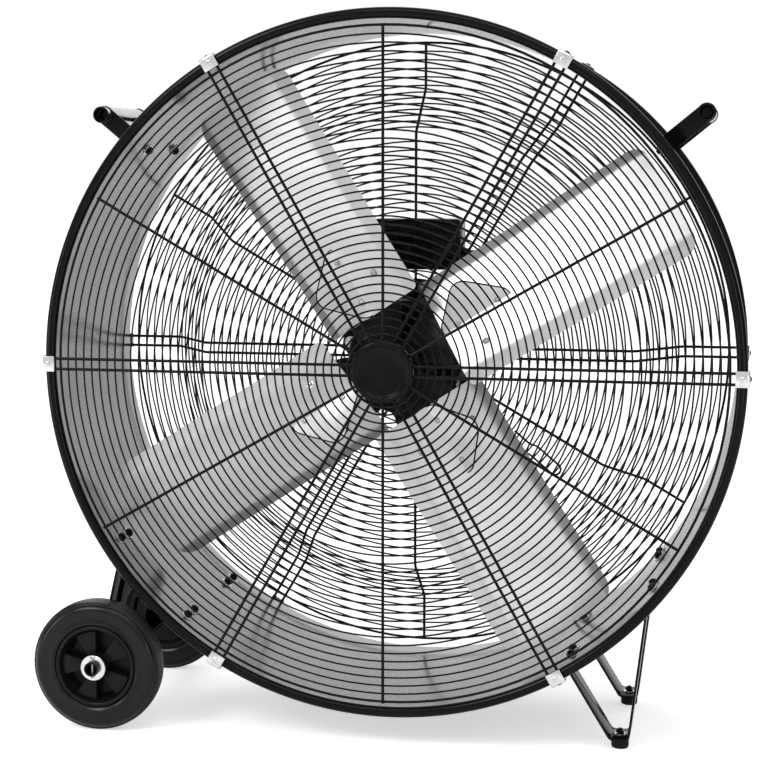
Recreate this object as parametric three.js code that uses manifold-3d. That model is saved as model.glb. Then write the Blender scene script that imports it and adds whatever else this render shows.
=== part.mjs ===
// Wheeled drum fan: a rolled steel drum with a wire guard at each end, a four-blade rotor on a
// direct-drive motor that the dished rear guard carries, two carrying handles, a pair of wheels
// on one axle and a pair of rubber feet.
// Millimetres, +Z up, the air leaves towards -Y. The model is built round the fan axis and then
// stood on the floor, with the origin under the middle of its box.

import * as THREE from 'three';
import { mergeVertices } from 'three/addons/utils/BufferGeometryUtils.js';
import Module from 'manifold-3d';

const wasm = await Module();
wasm.setup();

// ------------------------------------------------------------------ driving dimensions
const GAP = 0.3;                   // between pieces that rest on each other
const WELD = 0.5;                  // depth that one guard wire sinks into another at a weld

const RIM_RADIUS = 584;            // outside of the rolled edge
const BEAD_RADIUS = 9;             // rolled edge
const DRUM_WALL = 2;
const DRUM_DEPTH = 400;
const DRUM_FACETS = 60;
const GROUND_CLEARANCE = 48;       // rolled edge above the floor

const SPOKE_RADIUS = 2.5;
const SPOKE_SIDES = 4;
const SPOKE_PAIR_SPACING = 17.5;
const SPOKE_COUNT = 6;             // pairs, and as many single spokes between them
const RING_WIRE = 3;
const SMALL_RING = 200;            // rings below this radius have fewer facets
const CARRIER_RING_WIRE = 5;       // the first and last ring of each guard
const WELDED_SPOKE = 90;           // degrees: the single spoke that every ring is welded to

const FRONT_RING_FIRST = 59;
const FRONT_RING_PITCH = 13.8;
const GUARD_RIM_CLEARANCE = 8;     // outermost ring to the inside of the drum

const REAR_RING_FIRST = 100;
const REAR_RING_PITCH = 15.2;
const REAR_CONE_PITCH = 10.6;
const REAR_DISH_OUTER = 469;
const REAR_DISH_INNER = 390;
const REAR_DISH_DEPTH = 100;

const CLIP_WIDTH = 26;
const CLIP_REACH = 22;
const CLIP_SHEET = 2;
const CLIP_SKIRT = 11;
const CLIP_SCREW_RADIUS = 2.5;
const CLIP_HEAD_RADIUS = 5;
const CLIP_HEAD_HEIGHT = 3;

const BADGE_RADIUS = 52;
const BADGE_HEIGHT = 10;
const BADGE_LIP = 12;
const BADGE_RECESS = 4;
const BADGE_BEVEL = 2;

const MOTOR_RADIUS = 100;
const MOTOR_LENGTH = 100;
const MOTOR_WALL = 4;
const BELL_DEPTH = 12;
const BELL_WALL = 5;
const BELL_CHAMFER = 9;
const BELL_VENTS = 8;
const BELL_VENT_WIDTH = 15;
const BELL_VENT_INNER = 42;
const BELL_VENT_OUTER = 76;
const STATOR_LENGTH = 50;
const STATOR_BORE = 61;
const END_TURN_HEIGHT = 9;
const END_TURN_INSET = 7;
const AIR_GAP = 0.8;
const BEARING_RADIUS = 20;
const BEARING_WIDTH = 12;
const BEARING_LAND = 9;            // wall of the seat round a bearing
const MOTOR_PLATE_CORNER = 132;    // centre to the cut corner
const MOTOR_PLATE_CUT = 20;        // length of a cut corner
const MOTOR_PLATE_TURN = -8;       // degrees
const MOTOR_PLATE_SHEET = 4;

const SHAFT_RADIUS = 9.5;
const SHAFT_NOSE = 8;              // shaft in front of the hub
const SHAFT_TAIL = 5;              // shaft behind the rear bearing's front face
const HUB_RADIUS = 32;
const HUB_LENGTH = 34;
const HUB_FRONT = 138;             // hub face behind the front of the drum
const SPIDER_ARM_WIDTH = 124;
const SPIDER_ARM_SHEET = 5;
const SPIDER_ARM_LENGTH = 212;
const SPIDER_ARM_ROOT = 24;         // where an arm starts, inside the hub
const SPIDER_ROOT_WIDTH = 41.6;
const BLADE_COUNT = 4;
const BLADE_START = 32.5;            // degrees from +X to the first blade
const BLADE_TIP_RADIUS = 535;
const BLADE_ROOT_RADIUS = 90;
const BLADE_WIDTH = 212;
const BLADE_SHEET = 2.5;
const BLADE_CORNER = 30;
const BLADE_FOLD_WIDTH = 22;
const BLADE_FOLD_ANGLE = 24;
const BLADE_PLANE = 150;           // blade axis behind the front of the drum
const BLADE_PITCH_ROOT = 24;
const BLADE_PITCH_TIP = 20;

const BOX_WIDTH = 160;
const BOX_HEIGHT = 90;
const BOX_DEPTH = 55;
const BOX_WALL = 2;
const BOX_CORNER = 8;
const BOX_RISE = 192;              // centre of the switch box above the fan axis
const COVER_SHEET = 2;
const SWITCH_SIZE = 34;
const SWITCH_DEPTH = 24;
const KNOB_RADIUS = 18;
const KNOB_HEIGHT = 16;
const KNOB_STEM_RADIUS = 3;
const KNOB_STEM_LENGTH = 12;
const KNOB_POINTER_WIDTH = 7;
const KNOB_POINTER_HEIGHT = 5;
const KNOB_TAPER = 2;
const KNOB_OFFSET = 38;            // knob to the right of the box centre, seen from the front
const GLAND_RADIUS = 11;
const GLAND_BORE = 4.5;
const GLAND_LENGTH = 22;
const GLAND_STEP = 3;              // nut to nose
const GLAND_TAPER = 2;
const GLAND_DROP = 18;             // gland below the box centre

const HOOK_WIRE_RADIUS = 2;
const HOOK_ANGLE = -40;            // degrees round the rear guard
const HOOK_RADIUS = 262;           // where the hook leaves the guard
const HOOK_ROOT = 36;
const HOOK_STAND = 28;
const HOOK_CRANK = 12;             // length of its step away from the rings
const HOOK_LENGTH = 74;
const HOOK_SPREAD = 20;

const HANDLE_ANGLE = 39.4;           // degrees above the horizontal, both sides
const HANDLE_STANDOFF = 74;        // rolled edge to tube axis
const HANDLE_TUBE_RADIUS = 14;
const HANDLE_TUBE_WALL = 2;
const HANDLE_SPACING = 180;        // between the two brackets
const HANDLE_OVERHANG = 16;
const HANDLE_SIDES = 12;
const BRACKET_WIDTH = 30;
const BRACKET_SHEET = 3;
const BRACKET_FOOT = 26;
const CAP_HEAD = 3;
const CAP_PLUG = 9;
const CAP_BEVEL = 1.5;

const STRAP_WIDTH = 60;
const STRAP_SHEET = 4;
const STRAP_SPACING = 250;         // front leg to rear leg
const STRAP_FLANGE = 32;
const STRAP_BEND = 9;
const WHEEL_STRAP_ANGLES = [213, 231];
const FOOT_STRAP_ANGLES = [303, 321];
const FOOT_INSET = 195;            // foot inside the drum's side
const FOOT_FLAT = 30;
const FOOT_RADIUS = 16;
const FOOT_HEIGHT = 18;
const FOOT_TAPER = 2;

const AXLE_RADIUS = 12.5;
const AXLE_WALL = 3;
const AXLE_INSET = 84;             // axle inside the drum's side
const AXLE_STICKOUT = 8;
const AXLE_SIDES = 16;
const WHEEL_RADIUS = 113;
const WHEEL_WIDTH = 50;
const WHEEL_STANDOFF = 13;         // tyre to strap
const TYRE_BORE = 71;
const TYRE_BEAD_INSET = 5;
const TYRE_BEAD_WIDTH = 14;
const TYRE_SHOULDER_WIDTH = 8;
const TYRE_SHOULDER_INSET = 3;
const TYRE_TREAD_INSET = 12;
const HUB_BORE_CLEARANCE = 0.4;
const WHEEL_HUB_RADIUS = 21;
const WHEEL_HUB_NOSE = 3;          // hub in front of the tyre
const RIM_WEB = 7;
const RIM_WEDGES = 5;
const RIM_WEDGE_HEIGHT = 8;
const RIM_LIP_INSET = 4;            // rim edge inside the tyre's side
const RIM_LEDGE = 8;                // depth of the rim's wall under the tyre
const RIM_DRAFT = 2;
const WASHER_RADIUS = 22;
const WASHER_SHEET = 2.5;
const PIN_RADIUS = 1.6;
const PIN_HEAD = 4;
const PIN_OVERHANG = 4;             // pin beyond the axle on either side

// ------------------------------------------------------------------ sizes that follow
const DRUM_INNER = RIM_RADIUS - 2 * BEAD_RADIUS;
const DRUM_OUTER = DRUM_INNER + DRUM_WALL;
const DRUM_SEAT = DRUM_OUTER * Math.cos(Math.PI / DRUM_FACETS) + GAP;
const DRUM_MIDDLE = DRUM_DEPTH / 2;
const AXIS_HEIGHT = RIM_RADIUS + GROUND_CLEARANCE;
const HANDLE_RADIUS = RIM_RADIUS + HANDLE_STANDOFF;
const AXLE_X = AXLE_INSET - RIM_RADIUS;
const FOOT_X = RIM_RADIUS - FOOT_INSET;
const GUARD_RADIUS = DRUM_INNER - GUARD_RIM_CLEARANCE;
const WIRE_OFFSET = GAP + SPOKE_RADIUS;             // paired spokes outside the rolled edge
const WELD_SINK = GAP + WELD;                       // closes the gap of a welded crossing
const RING_REACH = SPOKE_RADIUS + GAP + RING_WIRE;  // spoke axis to the far side of the rings
const PAIR_OUTER_FACE = -GAP - 2 * SPOKE_RADIUS;
const REAR_PAIR_AXIS = DRUM_DEPTH + WIRE_OFFSET;
const DISH_PAIR_AXIS = REAR_PAIR_AXIS - REAR_DISH_DEPTH;
const DISH_OUTER_FACE = DISH_PAIR_AXIS + SPOKE_RADIUS;
const PLATE_REAR = DISH_PAIR_AXIS - RING_REACH - GAP;
const PLATE_FRONT = PLATE_REAR - MOTOR_PLATE_SHEET;
const MOTOR_REAR = PLATE_FRONT - GAP;
const MOTOR_FRONT = MOTOR_REAR - MOTOR_LENGTH;
const BOX_FRONT = DISH_OUTER_FACE + GAP;
const STRAP_FRONT_EDGE = DRUM_MIDDLE - STRAP_SPACING / 2 - STRAP_WIDTH / 2;
const AXLE_DROP = -(AXIS_HEIGHT - WHEEL_RADIUS);
const WHEEL_MIDDLE = STRAP_FRONT_EDGE - WHEEL_STANDOFF - WHEEL_WIDTH / 2;
const WHEEL_HUB_FRONT = WHEEL_MIDDLE - WHEEL_WIDTH / 2 - WHEEL_HUB_NOSE;
const WASHER_FRONT = WHEEL_HUB_FRONT - GAP - WASHER_SHEET;
const PIN_AXIS = WASHER_FRONT - GAP - PIN_RADIUS;
const AXLE_FRONT = PIN_AXIS - AXLE_STICKOUT;

const radians = THREE.MathUtils.degToRad;

// ------------------------------------------------------------------ materials
const COLOURS = {
  blackGloss: [0x101113, 0.28, 0.35],
  blackWire: [0x121315, 0.38, 0.3],
  galvanised: [0xb9bcbf, 0.42, 0.85],
  zinc: [0xd9dadb, 0.3, 0.9],
  castMetal: [0x1a1b1e, 0.5, 0.5],
  copper: [0xb56a35, 0.4, 0.9],
  steel: [0x8c8f93, 0.35, 0.9],
  blackPlastic: [0x17181a, 0.45, 0],
  rubber: [0x141414, 0.75, 0],
};

function material(name) {
  const [color, roughness, metalness] = COLOURS[name];
  return new THREE.MeshStandardMaterial({ name, color, roughness, metalness });
}

// ------------------------------------------------------------------ closed bodies
// Joins a geometry's shared corners, drops collapsed faces and turns the faces outwards.
function closed(geometry) {
  const bare = new THREE.BufferGeometry();
  bare.setAttribute('position', geometry.getAttribute('position').clone());
  if (geometry.index) {
    bare.setIndex(geometry.index.clone());
  }
  const merged = mergeVertices(bare, 1e-3);
  const place = merged.getAttribute('position');
  const corner = (i) => new THREE.Vector3().fromBufferAttribute(place, i);
  const faces = [];
  let volume = 0;
  for (let i = 0; i < merged.index.count; i += 3) {
    const [a, b, c] = [0, 1, 2].map((k) => merged.index.getX(i + k));
    if (a !== b && b !== c && c !== a) {
      faces.push(a, b, c);
      volume += corner(a).dot(corner(b).cross(corner(c)));
    }
  }
  merged.setIndex(volume < 0 ? faces.reverse() : faces);
  return merged;
}

function toSolid(geometry) {
  const body = closed(geometry);
  return new wasm.Manifold(new wasm.Mesh({
    numProp: 3,
    vertProperties: new Float32Array(body.getAttribute('position').array),
    triVerts: new Uint32Array(body.index.array),
  }));
}

function fromSolid(solid) {
  const mesh = solid.getMesh();
  const geometry = new THREE.BufferGeometry();
  geometry.setAttribute('position', new THREE.BufferAttribute(mesh.vertProperties, 3));
  geometry.setIndex(new THREE.BufferAttribute(mesh.triVerts, 1));
  return geometry;
}

function join(geometries) {
  return fromSolid(wasm.Manifold.union(geometries.map(toSolid)));
}

function cut(geometry, tools) {
  return fromSolid(toSolid(geometry).subtract(wasm.Manifold.union(tools.map(toSolid))));
}

// A closed outline of [radius, y] points turned round the Y axis.
function revolve(outline, segments) {
  const points = [...outline, outline[0]].map(([r, y]) => new THREE.Vector2(r, y));
  return new THREE.LatheGeometry(points, segments);
}

function ringBody(inner, outer, yFront, yRear, segments) {
  return revolve([[inner, yFront], [outer, yFront], [outer, yRear], [inner, yRear]], segments);
}

// A round bar from yFront to yRear.
function rod(radius, yFront, yRear, sides) {
  return new THREE.CylinderGeometry(radius, radius, yRear - yFront, sides)
    .translate(0, (yFront + yRear) / 2, 0);
}

function block(x, y, z, width, depth, height) {
  return new THREE.BoxGeometry(width, depth, height).translate(x, y, z);
}

// A flat outline in X and Z, from yFront back by the sheet's thickness.
function sheet(shape, yFront, thickness, curveSegments = 6) {
  return new THREE.ExtrudeGeometry(shape, { depth: thickness, bevelEnabled: false, curveSegments })
    .rotateX(Math.PI / 2)
    .translate(0, yFront + thickness, 0);
}

// Skins rows of corners into one closed body. Each row has the same even number of corners, and
// its two halves face each other, so that the end faces are strips and both faces of a twisted
// sheet are split along the same diagonals.
function loft(rows) {
  const count = rows[0].length;
  const corners = rows.flat();
  const faces = [];
  for (let row = 0; row + 1 < rows.length; row += 1) {
    for (let i = 0; i < count; i += 1) {
      const next = (i + 1) % count;
      const [a, b] = [row * count + i, row * count + next];
      if (i < count / 2) {
        faces.push(a, b, b + count, a, b + count, a + count);
      } else {
        faces.push(a, b, a + count, b, b + count, a + count);
      }
    }
  }
  for (const [start, flip] of [[0, true], [(rows.length - 1) * count, false]]) {
    for (let i = 0; i + 1 < count / 2; i += 1) {
      const quad = [i, i + 1, count - 2 - i, count - 1 - i].map((k) => start + k);
      const [a, b, c, d] = flip ? quad.reverse() : quad;
      faces.push(a, b, c, a, c, d);
    }
  }
  const geometry = new THREE.BufferGeometry();
  const numbers = corners.flatMap((p) => [p.x, p.y, p.z]);
  geometry.setAttribute('position', new THREE.Float32BufferAttribute(numbers, 3));
  geometry.setIndex(faces);
  return geometry;
}

// A wire along points that turn mainly in one plane, whose normal is sideways; its flats face
// across that plane, so that crossing wires weld flat to flat.
function wire(points, radius, sideways, sides = SPOKE_SIDES) {
  const reach = radius / Math.cos(Math.PI / sides);
  const rows = points.map((point, i) => {
    const ahead = points[Math.min(i + 1, points.length - 1)].clone().sub(point).normalize();
    const behind = point.clone().sub(points[Math.max(i - 1, 0)]).normalize();
    const along = ahead.clone().add(behind).normalize();
    const mitre = 1 / Math.max(along.dot(i ? behind : ahead), 0.5);
    const across = new THREE.Vector3().crossVectors(along, sideways).normalize();
    return Array.from({ length: sides }, (_, k) => {
      const angle = ((k + 0.5) / sides) * 2 * Math.PI;
      return point.clone()
        .addScaledVector(across, reach * mitre * Math.cos(angle))
        .addScaledVector(sideways, reach * Math.sin(angle));
    });
  });
  return loft(rows);
}

// Rounds the inner corners of a path of [x, z] points.
function filleted(path, radius, steps = 3) {
  const points = path.map(([x, z]) => new THREE.Vector2(x, z));
  return points.flatMap((point, i) => {
    if (i === 0 || i === points.length - 1) {
      return [point];
    }
    const back = points[i - 1].clone().sub(point);
    const ahead = points[i + 1].clone().sub(point);
    const reach = Math.min(radius, back.length() / 2, ahead.length() / 2);
    const from = point.clone().addScaledVector(back.normalize(), reach);
    const to = point.clone().addScaledVector(ahead.normalize(), reach);
    const curve = new THREE.QuadraticBezierCurve(from, point, to);
    return curve.getPoints(steps);
  });
}

// A flat bar bent along a path of Vector2(x, z), standing across Y.
function bentBar(path, thickness, yFront, width) {
  const rows = path.map((point, i) => {
    const ahead = path[Math.min(i + 1, path.length - 1)].clone().sub(point).normalize();
    const behind = point.clone().sub(path[Math.max(i - 1, 0)]).normalize();
    const along = ahead.clone().add(behind).normalize();
    const reach = thickness / 2 / Math.max(along.dot(i ? behind : ahead), 0.3);
    const [nx, nz] = [-along.y * reach, along.x * reach];
    return [
      new THREE.Vector3(point.x + nx, yFront, point.y + nz),
      new THREE.Vector3(point.x + nx, yFront + width, point.y + nz),
      new THREE.Vector3(point.x - nx, yFront + width, point.y - nz),
      new THREE.Vector3(point.x - nx, yFront, point.y - nz),
    ];
  });
  return loft(rows);
}

// ------------------------------------------------------------------ the assembly
const fan = new THREE.Group();
fan.name = 'drum_fan';

function piece(name, geometry, materialName, parent = fan) {
  const body = closed(geometry);
  body.computeVertexNormals();
  const mesh = new THREE.Mesh(body, material(materialName));
  mesh.name = name;
  parent.add(mesh);
  return mesh;
}

// A group turned about the fan axis: its +X points at the given angle from +X towards +Z.
function turned(degrees) {
  const group = new THREE.Group();
  group.rotation.y = -radians(degrees);
  fan.add(group);
  return group;
}

// ------------------------------------------------------------------ drum
function drumShell() {
  const bead = RIM_RADIUS - BEAD_RADIUS;
  const wallAngle = Math.PI - Math.acos((bead - DRUM_OUTER) / BEAD_RADIUS);
  const half = [];
  for (let angle = 180; angle <= 360; angle += 45) {
    half.push(angle);
  }
  half.push(425, 360 + THREE.MathUtils.radToDeg(wallAngle));
  const front = half.map((angle) => [
    bead + BEAD_RADIUS * Math.cos(radians(angle)),
    BEAD_RADIUS + BEAD_RADIUS * Math.sin(radians(angle)),
  ]);
  const rear = front.map(([r, y]) => [r, DRUM_DEPTH - y]).reverse();
  piece('drum_shell', revolve([...front, ...rear], DRUM_FACETS), 'blackGloss');
}

// ------------------------------------------------------------------ wire guards
// A guard is described by the run of its paired spokes: corners [radius, y] from the rim inwards,
// with inward as the side that the rings lie on. Rings are three-sided, flat against the spokes.
function runAt(run, radius) {
  const last = run.length - 2;
  const leg = run.findIndex((corner, i) => i <= last && radius >= run[i + 1][0]);
  const k = leg < 0 ? last : leg;
  const [[r0, y0], [r1, y1]] = [run[k], run[k + 1]];
  const along = new THREE.Vector2(r0 - r1, y0 - y1).normalize();
  return { y: y0 + ((y1 - y0) * (radius - r0)) / (r1 - r0), along };
}

function ringSegments(run, radius) {
  const flat = Math.abs(runAt(run, radius).along.y) < 0.01;
  return radius < SMALL_RING ? 12 : flat ? 18 : 24;
}

// A faceted ring cuts the corner of a sloping spoke pair, so there it stands off by this much.
function ringStandoff(run, radius) {
  const slope = Math.abs(runAt(run, radius).along.y);
  const across = SPOKE_PAIR_SPACING / 2 + SPOKE_RADIUS;
  return slope * across * Math.tan(Math.PI / ringSegments(run, radius));
}

function guardRing(run, inward, radius, wireSize, sink) {
  const { y, along } = runAt(run, radius);
  const normal = new THREE.Vector2(-along.y, along.x).multiplyScalar(inward);
  const reach = SPOKE_RADIUS + GAP - sink + ringStandoff(run, radius);
  const base = new THREE.Vector2(radius, y).addScaledVector(normal, reach);
  const apex = base.clone().addScaledVector(normal, RING_WIRE + sink);
  const outline = [
    base.clone().addScaledVector(along, wireSize / 2),
    base.clone().addScaledVector(along, -wireSize / 2),
    apex,
  ];
  return revolve(outline.map((p) => [p.x, p.y]), ringSegments(run, radius));
}

// Moves a run towards the rings, square to itself.
function sunkRun(run, inward, distance) {
  return run.map(([r, y], i) => {
    const legs = [run[i - 1], run[i + 1]].filter(Boolean).map(([r1, y1], k) => {
      const sign = k === 0 && i > 0 ? 1 : -1;
      return new THREE.Vector2(r1 - r, y1 - y).multiplyScalar(sign).normalize();
    });
    const along = legs[0].clone().add(legs[legs.length - 1]).normalize();
    const reach = distance / along.dot(legs[0]);
    return [r - along.y * inward * reach, y + along.x * inward * reach];
  });
}

function spoke(run, degrees, offset) {
  const points = run.map(([r, y]) => new THREE.Vector3(r, y, offset));
  return wire(points, SPOKE_RADIUS, new THREE.Vector3(0, 0, 1)).rotateY(-radians(degrees));
}

// Every spoke is welded to the outermost ring, and one single spoke to every ring. The others
// clear the inner rings by the seat gap.
function guard(name, run, inward, radii) {
  const outermost = Math.max(...radii);
  const bodies = radii.map((radius, i) => {
    const wireSize = i === 0 || radius === outermost ? CARRIER_RING_WIRE : RING_WIRE;
    return guardRing(run, inward, radius, wireSize, radius === outermost ? WELD_SINK : 0);
  });
  const ended = (line) => [[outermost + CARRIER_RING_WIRE / 2, line[0][1]], ...line.slice(1)];
  const single = ended(run);
  const deepest = Math.max(...radii.map((radius) => ringStandoff(run, radius)));
  const welded = ended(sunkRun(run, inward, WELD_SINK + deepest));
  for (let i = 0; i < SPOKE_COUNT; i += 1) {
    const pairAngle = (i * 360) / SPOKE_COUNT;
    const singleAngle = pairAngle + 180 / SPOKE_COUNT;
    bodies.push(spoke(run, pairAngle, SPOKE_PAIR_SPACING / 2));
    bodies.push(spoke(run, pairAngle, -SPOKE_PAIR_SPACING / 2));
    bodies.push(spoke(singleAngle === WELDED_SPOKE ? welded : single, singleAngle, 0));
  }
  piece(name, join(bodies), 'blackWire');
}

function ringRadii(from, to, pitch) {
  const radii = [];
  for (let radius = from; radius <= to + 1e-6; radius += pitch) {
    radii.push(radius);
  }
  return radii;
}

function frontGuard() {
  const spokeEnd = RIM_RADIUS - BEAD_RADIUS / 2;
  const inner = BADGE_RADIUS - BADGE_LIP;
  const run = [[spokeEnd, -WIRE_OFFSET], [inner, -WIRE_OFFSET]];
  guard('front_guard', run, 1, ringRadii(FRONT_RING_FIRST, GUARD_RADIUS, FRONT_RING_PITCH));
}

function rearGuard() {
  const spokeEnd = RIM_RADIUS - BEAD_RADIUS / 2;
  const inner = REAR_RING_FIRST - CARRIER_RING_WIRE;
  const run = [
    [spokeEnd, REAR_PAIR_AXIS],
    [REAR_DISH_OUTER, REAR_PAIR_AXIS],
    [REAR_DISH_INNER, DISH_PAIR_AXIS],
    [inner, DISH_PAIR_AXIS],
  ];
  const clear = RING_WIRE * 2;
  const centre = ringRadii(REAR_RING_FIRST, REAR_DISH_INNER - clear, REAR_RING_PITCH);
  const cone = ringRadii(REAR_DISH_INNER + clear, REAR_DISH_OUTER - clear, REAR_CONE_PITCH);
  const flat = ringRadii(REAR_DISH_OUTER + clear, GUARD_RADIUS, REAR_RING_PITCH);
  guard('rear_guard', run, -1, [...centre, ...cone, ...flat]);
}

// A folded clip over the rolled edge, with the screw that clamps a pair of spokes under it.
function clipBody() {
  const front = PAIR_OUTER_FACE - GAP - CLIP_SHEET;
  const back = front + CLIP_SHEET;
  const inside = RIM_RADIUS + GAP;
  const outside = inside + CLIP_SHEET;
  const shape = new THREE.Shape([
    [inside - CLIP_REACH, front], [outside - CLIP_SHEET, front], [outside, back],
    [outside, CLIP_SKIRT], [inside, CLIP_SKIRT], [inside, back], [inside - CLIP_REACH, back],
  ].map(([x, y]) => new THREE.Vector2(x, y)));
  const fold = new THREE.ExtrudeGeometry(shape, { depth: CLIP_WIDTH, bevelEnabled: false })
    .translate(0, 0, -CLIP_WIDTH / 2);
  const screwRadius = RIM_RADIUS - BEAD_RADIUS;
  const head = new THREE.CylinderGeometry(CLIP_HEAD_RADIUS, CLIP_HEAD_RADIUS * 0.6,
    CLIP_HEAD_HEIGHT + WELD, 6).translate(screwRadius, front - CLIP_HEAD_HEIGHT / 2 + WELD / 2, 0);
  const shank = rod(CLIP_SCREW_RADIUS, back - WELD, -GAP, 4).translate(screwRadius, 0, 0);
  return join([fold, head, shank]);
}

function clips() {
  const body = clipBody();
  for (let i = 0; i < SPOKE_COUNT; i += 1) {
    const place = turned((i * 360) / SPOKE_COUNT);
    piece(`front_clip_${i + 1}`, body, 'zinc', place);
    const rear = piece(`rear_clip_${i + 1}`, body, 'zinc', place);
    rear.rotation.x = Math.PI;
    rear.position.y = DRUM_DEPTH;
  }
}

function badge() {
  const back = PAIR_OUTER_FACE - GAP;
  const face = back - BADGE_HEIGHT;
  const recess = BADGE_RADIUS - BADGE_LIP;
  const outline = [
    [0, back], [BADGE_RADIUS, back], [BADGE_RADIUS, face + BADGE_RECESS],
    [BADGE_RADIUS - BADGE_RECESS, face], [recess + BADGE_BEVEL, face], [recess, face + BADGE_RECESS],
    [0, face + BADGE_RECESS],
  ];
  piece('front_badge', revolve(outline, 24), 'blackGloss');
}

// ------------------------------------------------------------------ motor
function bell(name, front, sign, vents) {
  const y = (depth) => front + sign * depth;
  const seat = BEARING_RADIUS + GAP;
  const land = seat + BEARING_LAND;
  const outline = [
    [seat, y(0)], [MOTOR_RADIUS - BELL_CHAMFER, y(0)], [MOTOR_RADIUS, y(BELL_CHAMFER)],
    [MOTOR_RADIUS, y(BELL_DEPTH)], [MOTOR_RADIUS - BELL_WALL, y(BELL_DEPTH)],
    [MOTOR_RADIUS - BELL_CHAMFER - BELL_WALL, y(BELL_WALL)], [land, y(BELL_WALL)],
    [land, y(BELL_DEPTH)], [seat, y(BELL_DEPTH)],
  ];
  const body = revolve(outline, 24);
  const slots = [];
  for (let i = 0; vents && i < BELL_VENTS; i += 1) {
    const middle = (BELL_VENT_INNER + BELL_VENT_OUTER) / 2;
    const slot = block(middle, y(BELL_WALL / 2), 0, BELL_VENT_OUTER - BELL_VENT_INNER,
      BELL_WALL * 2, BELL_VENT_WIDTH);
    slots.push(slot.rotateY(radians(((i + 0.5) * 360) / BELL_VENTS)));
  }
  piece(name, vents ? cut(body, slots) : body, 'castMetal');
}

function motor() {
  const bodyFront = MOTOR_FRONT + BELL_DEPTH + GAP;
  const bodyRear = MOTOR_REAR - BELL_DEPTH - GAP;
  const housingBore = MOTOR_RADIUS - MOTOR_WALL;
  bell('motor_front_bell', MOTOR_FRONT, 1, true);
  bell('motor_rear_bell', MOTOR_REAR, -1, false);
  piece('motor_housing', ringBody(housingBore, MOTOR_RADIUS, bodyFront, bodyRear, 24), 'castMetal');

  const middle = (MOTOR_FRONT + MOTOR_REAR) / 2;
  const core = STATOR_LENGTH / 2;
  const turns = core + END_TURN_HEIGHT;
  const outer = housingBore - GAP * 2;
  const stator = [
    [STATOR_BORE, middle - core], [STATOR_BORE + END_TURN_INSET, middle - turns],
    [outer - END_TURN_INSET, middle - turns], [outer, middle - core],
    [outer, middle + core], [outer - END_TURN_INSET, middle + turns],
    [STATOR_BORE + END_TURN_INSET, middle + turns], [STATOR_BORE, middle + core],
  ];
  piece('stator_windings', revolve(stator, 24), 'copper');

  const bore = SHAFT_RADIUS + GAP;
  const frontSeat = MOTOR_FRONT;
  const rearSeat = MOTOR_REAR - BEARING_WIDTH;
  for (const [name, seat] of [['bearing_front', frontSeat], ['bearing_rear', rearSeat]]) {
    const ring = ringBody(bore, BEARING_RADIUS, seat, seat + BEARING_WIDTH, 16);
    piece(name, ring, 'steel');
  }
}

function motorPlate() {
  const corners = [];
  for (let i = 0; i < 4; i += 1) {
    const angle = radians(90 * i + MOTOR_PLATE_TURN);
    const tip = new THREE.Vector2(MOTOR_PLATE_CORNER, 0);
    for (const side of [-1, 1]) {
      const corner = tip.clone().setY((side * MOTOR_PLATE_CUT) / 2);
      corners.push(corner.rotateAround(new THREE.Vector2(), angle));
    }
  }
  const shape = new THREE.Shape(corners);
  const hole = new THREE.Path();
  hole.absarc(0, 0, BEARING_RADIUS + BEARING_LAND, 0, 2 * Math.PI, true);
  shape.holes.push(hole);
  piece('motor_plate', sheet(shape, PLATE_FRONT, MOTOR_PLATE_SHEET, 8), 'blackGloss');
}

// ------------------------------------------------------------------ rotor
function rotorShaft() {
  const middle = (MOTOR_FRONT + MOTOR_REAR) / 2;
  const core = STATOR_BORE - AIR_GAP;
  const halfCore = STATOR_LENGTH / 2;
  const tail = MOTOR_REAR - BEARING_WIDTH + SHAFT_TAIL;
  const outline = [
    [0, HUB_FRONT - SHAFT_NOSE], [SHAFT_RADIUS, HUB_FRONT - SHAFT_NOSE],
    [SHAFT_RADIUS, middle - halfCore], [core, middle - halfCore],
    [core, middle + halfCore], [SHAFT_RADIUS, middle + halfCore],
    [SHAFT_RADIUS, tail], [0, tail],
  ];
  piece('rotor_shaft', revolve(outline, 16), 'steel');
}

// The blade is straight over its arm and twists from there to the tip.
function pitchAt(radius) {
  const share = (radius - SPIDER_ARM_LENGTH) / (BLADE_TIP_RADIUS - SPIDER_ARM_LENGTH);
  return radians(BLADE_PITCH_ROOT + (BLADE_PITCH_TIP - BLADE_PITCH_ROOT) * Math.max(0, share));
}

// One cross row of a pitched sheet: across is measured along the chord, rise behind the blade.
function pitchedRow(radius, pitch, profile, thickness) {
  const place = (across, rise) => new THREE.Vector3(
    radius,
    BLADE_PLANE + across * Math.sin(pitch) + rise * Math.cos(pitch),
    across * Math.cos(pitch) - rise * Math.sin(pitch),
  );
  const faceRow = profile.map(([across, rise]) => place(across, rise - thickness / 2));
  const backRow = profile.map(([across, rise]) => place(across, rise + thickness / 2)).reverse();
  return [...faceRow, ...backRow];
}

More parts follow.
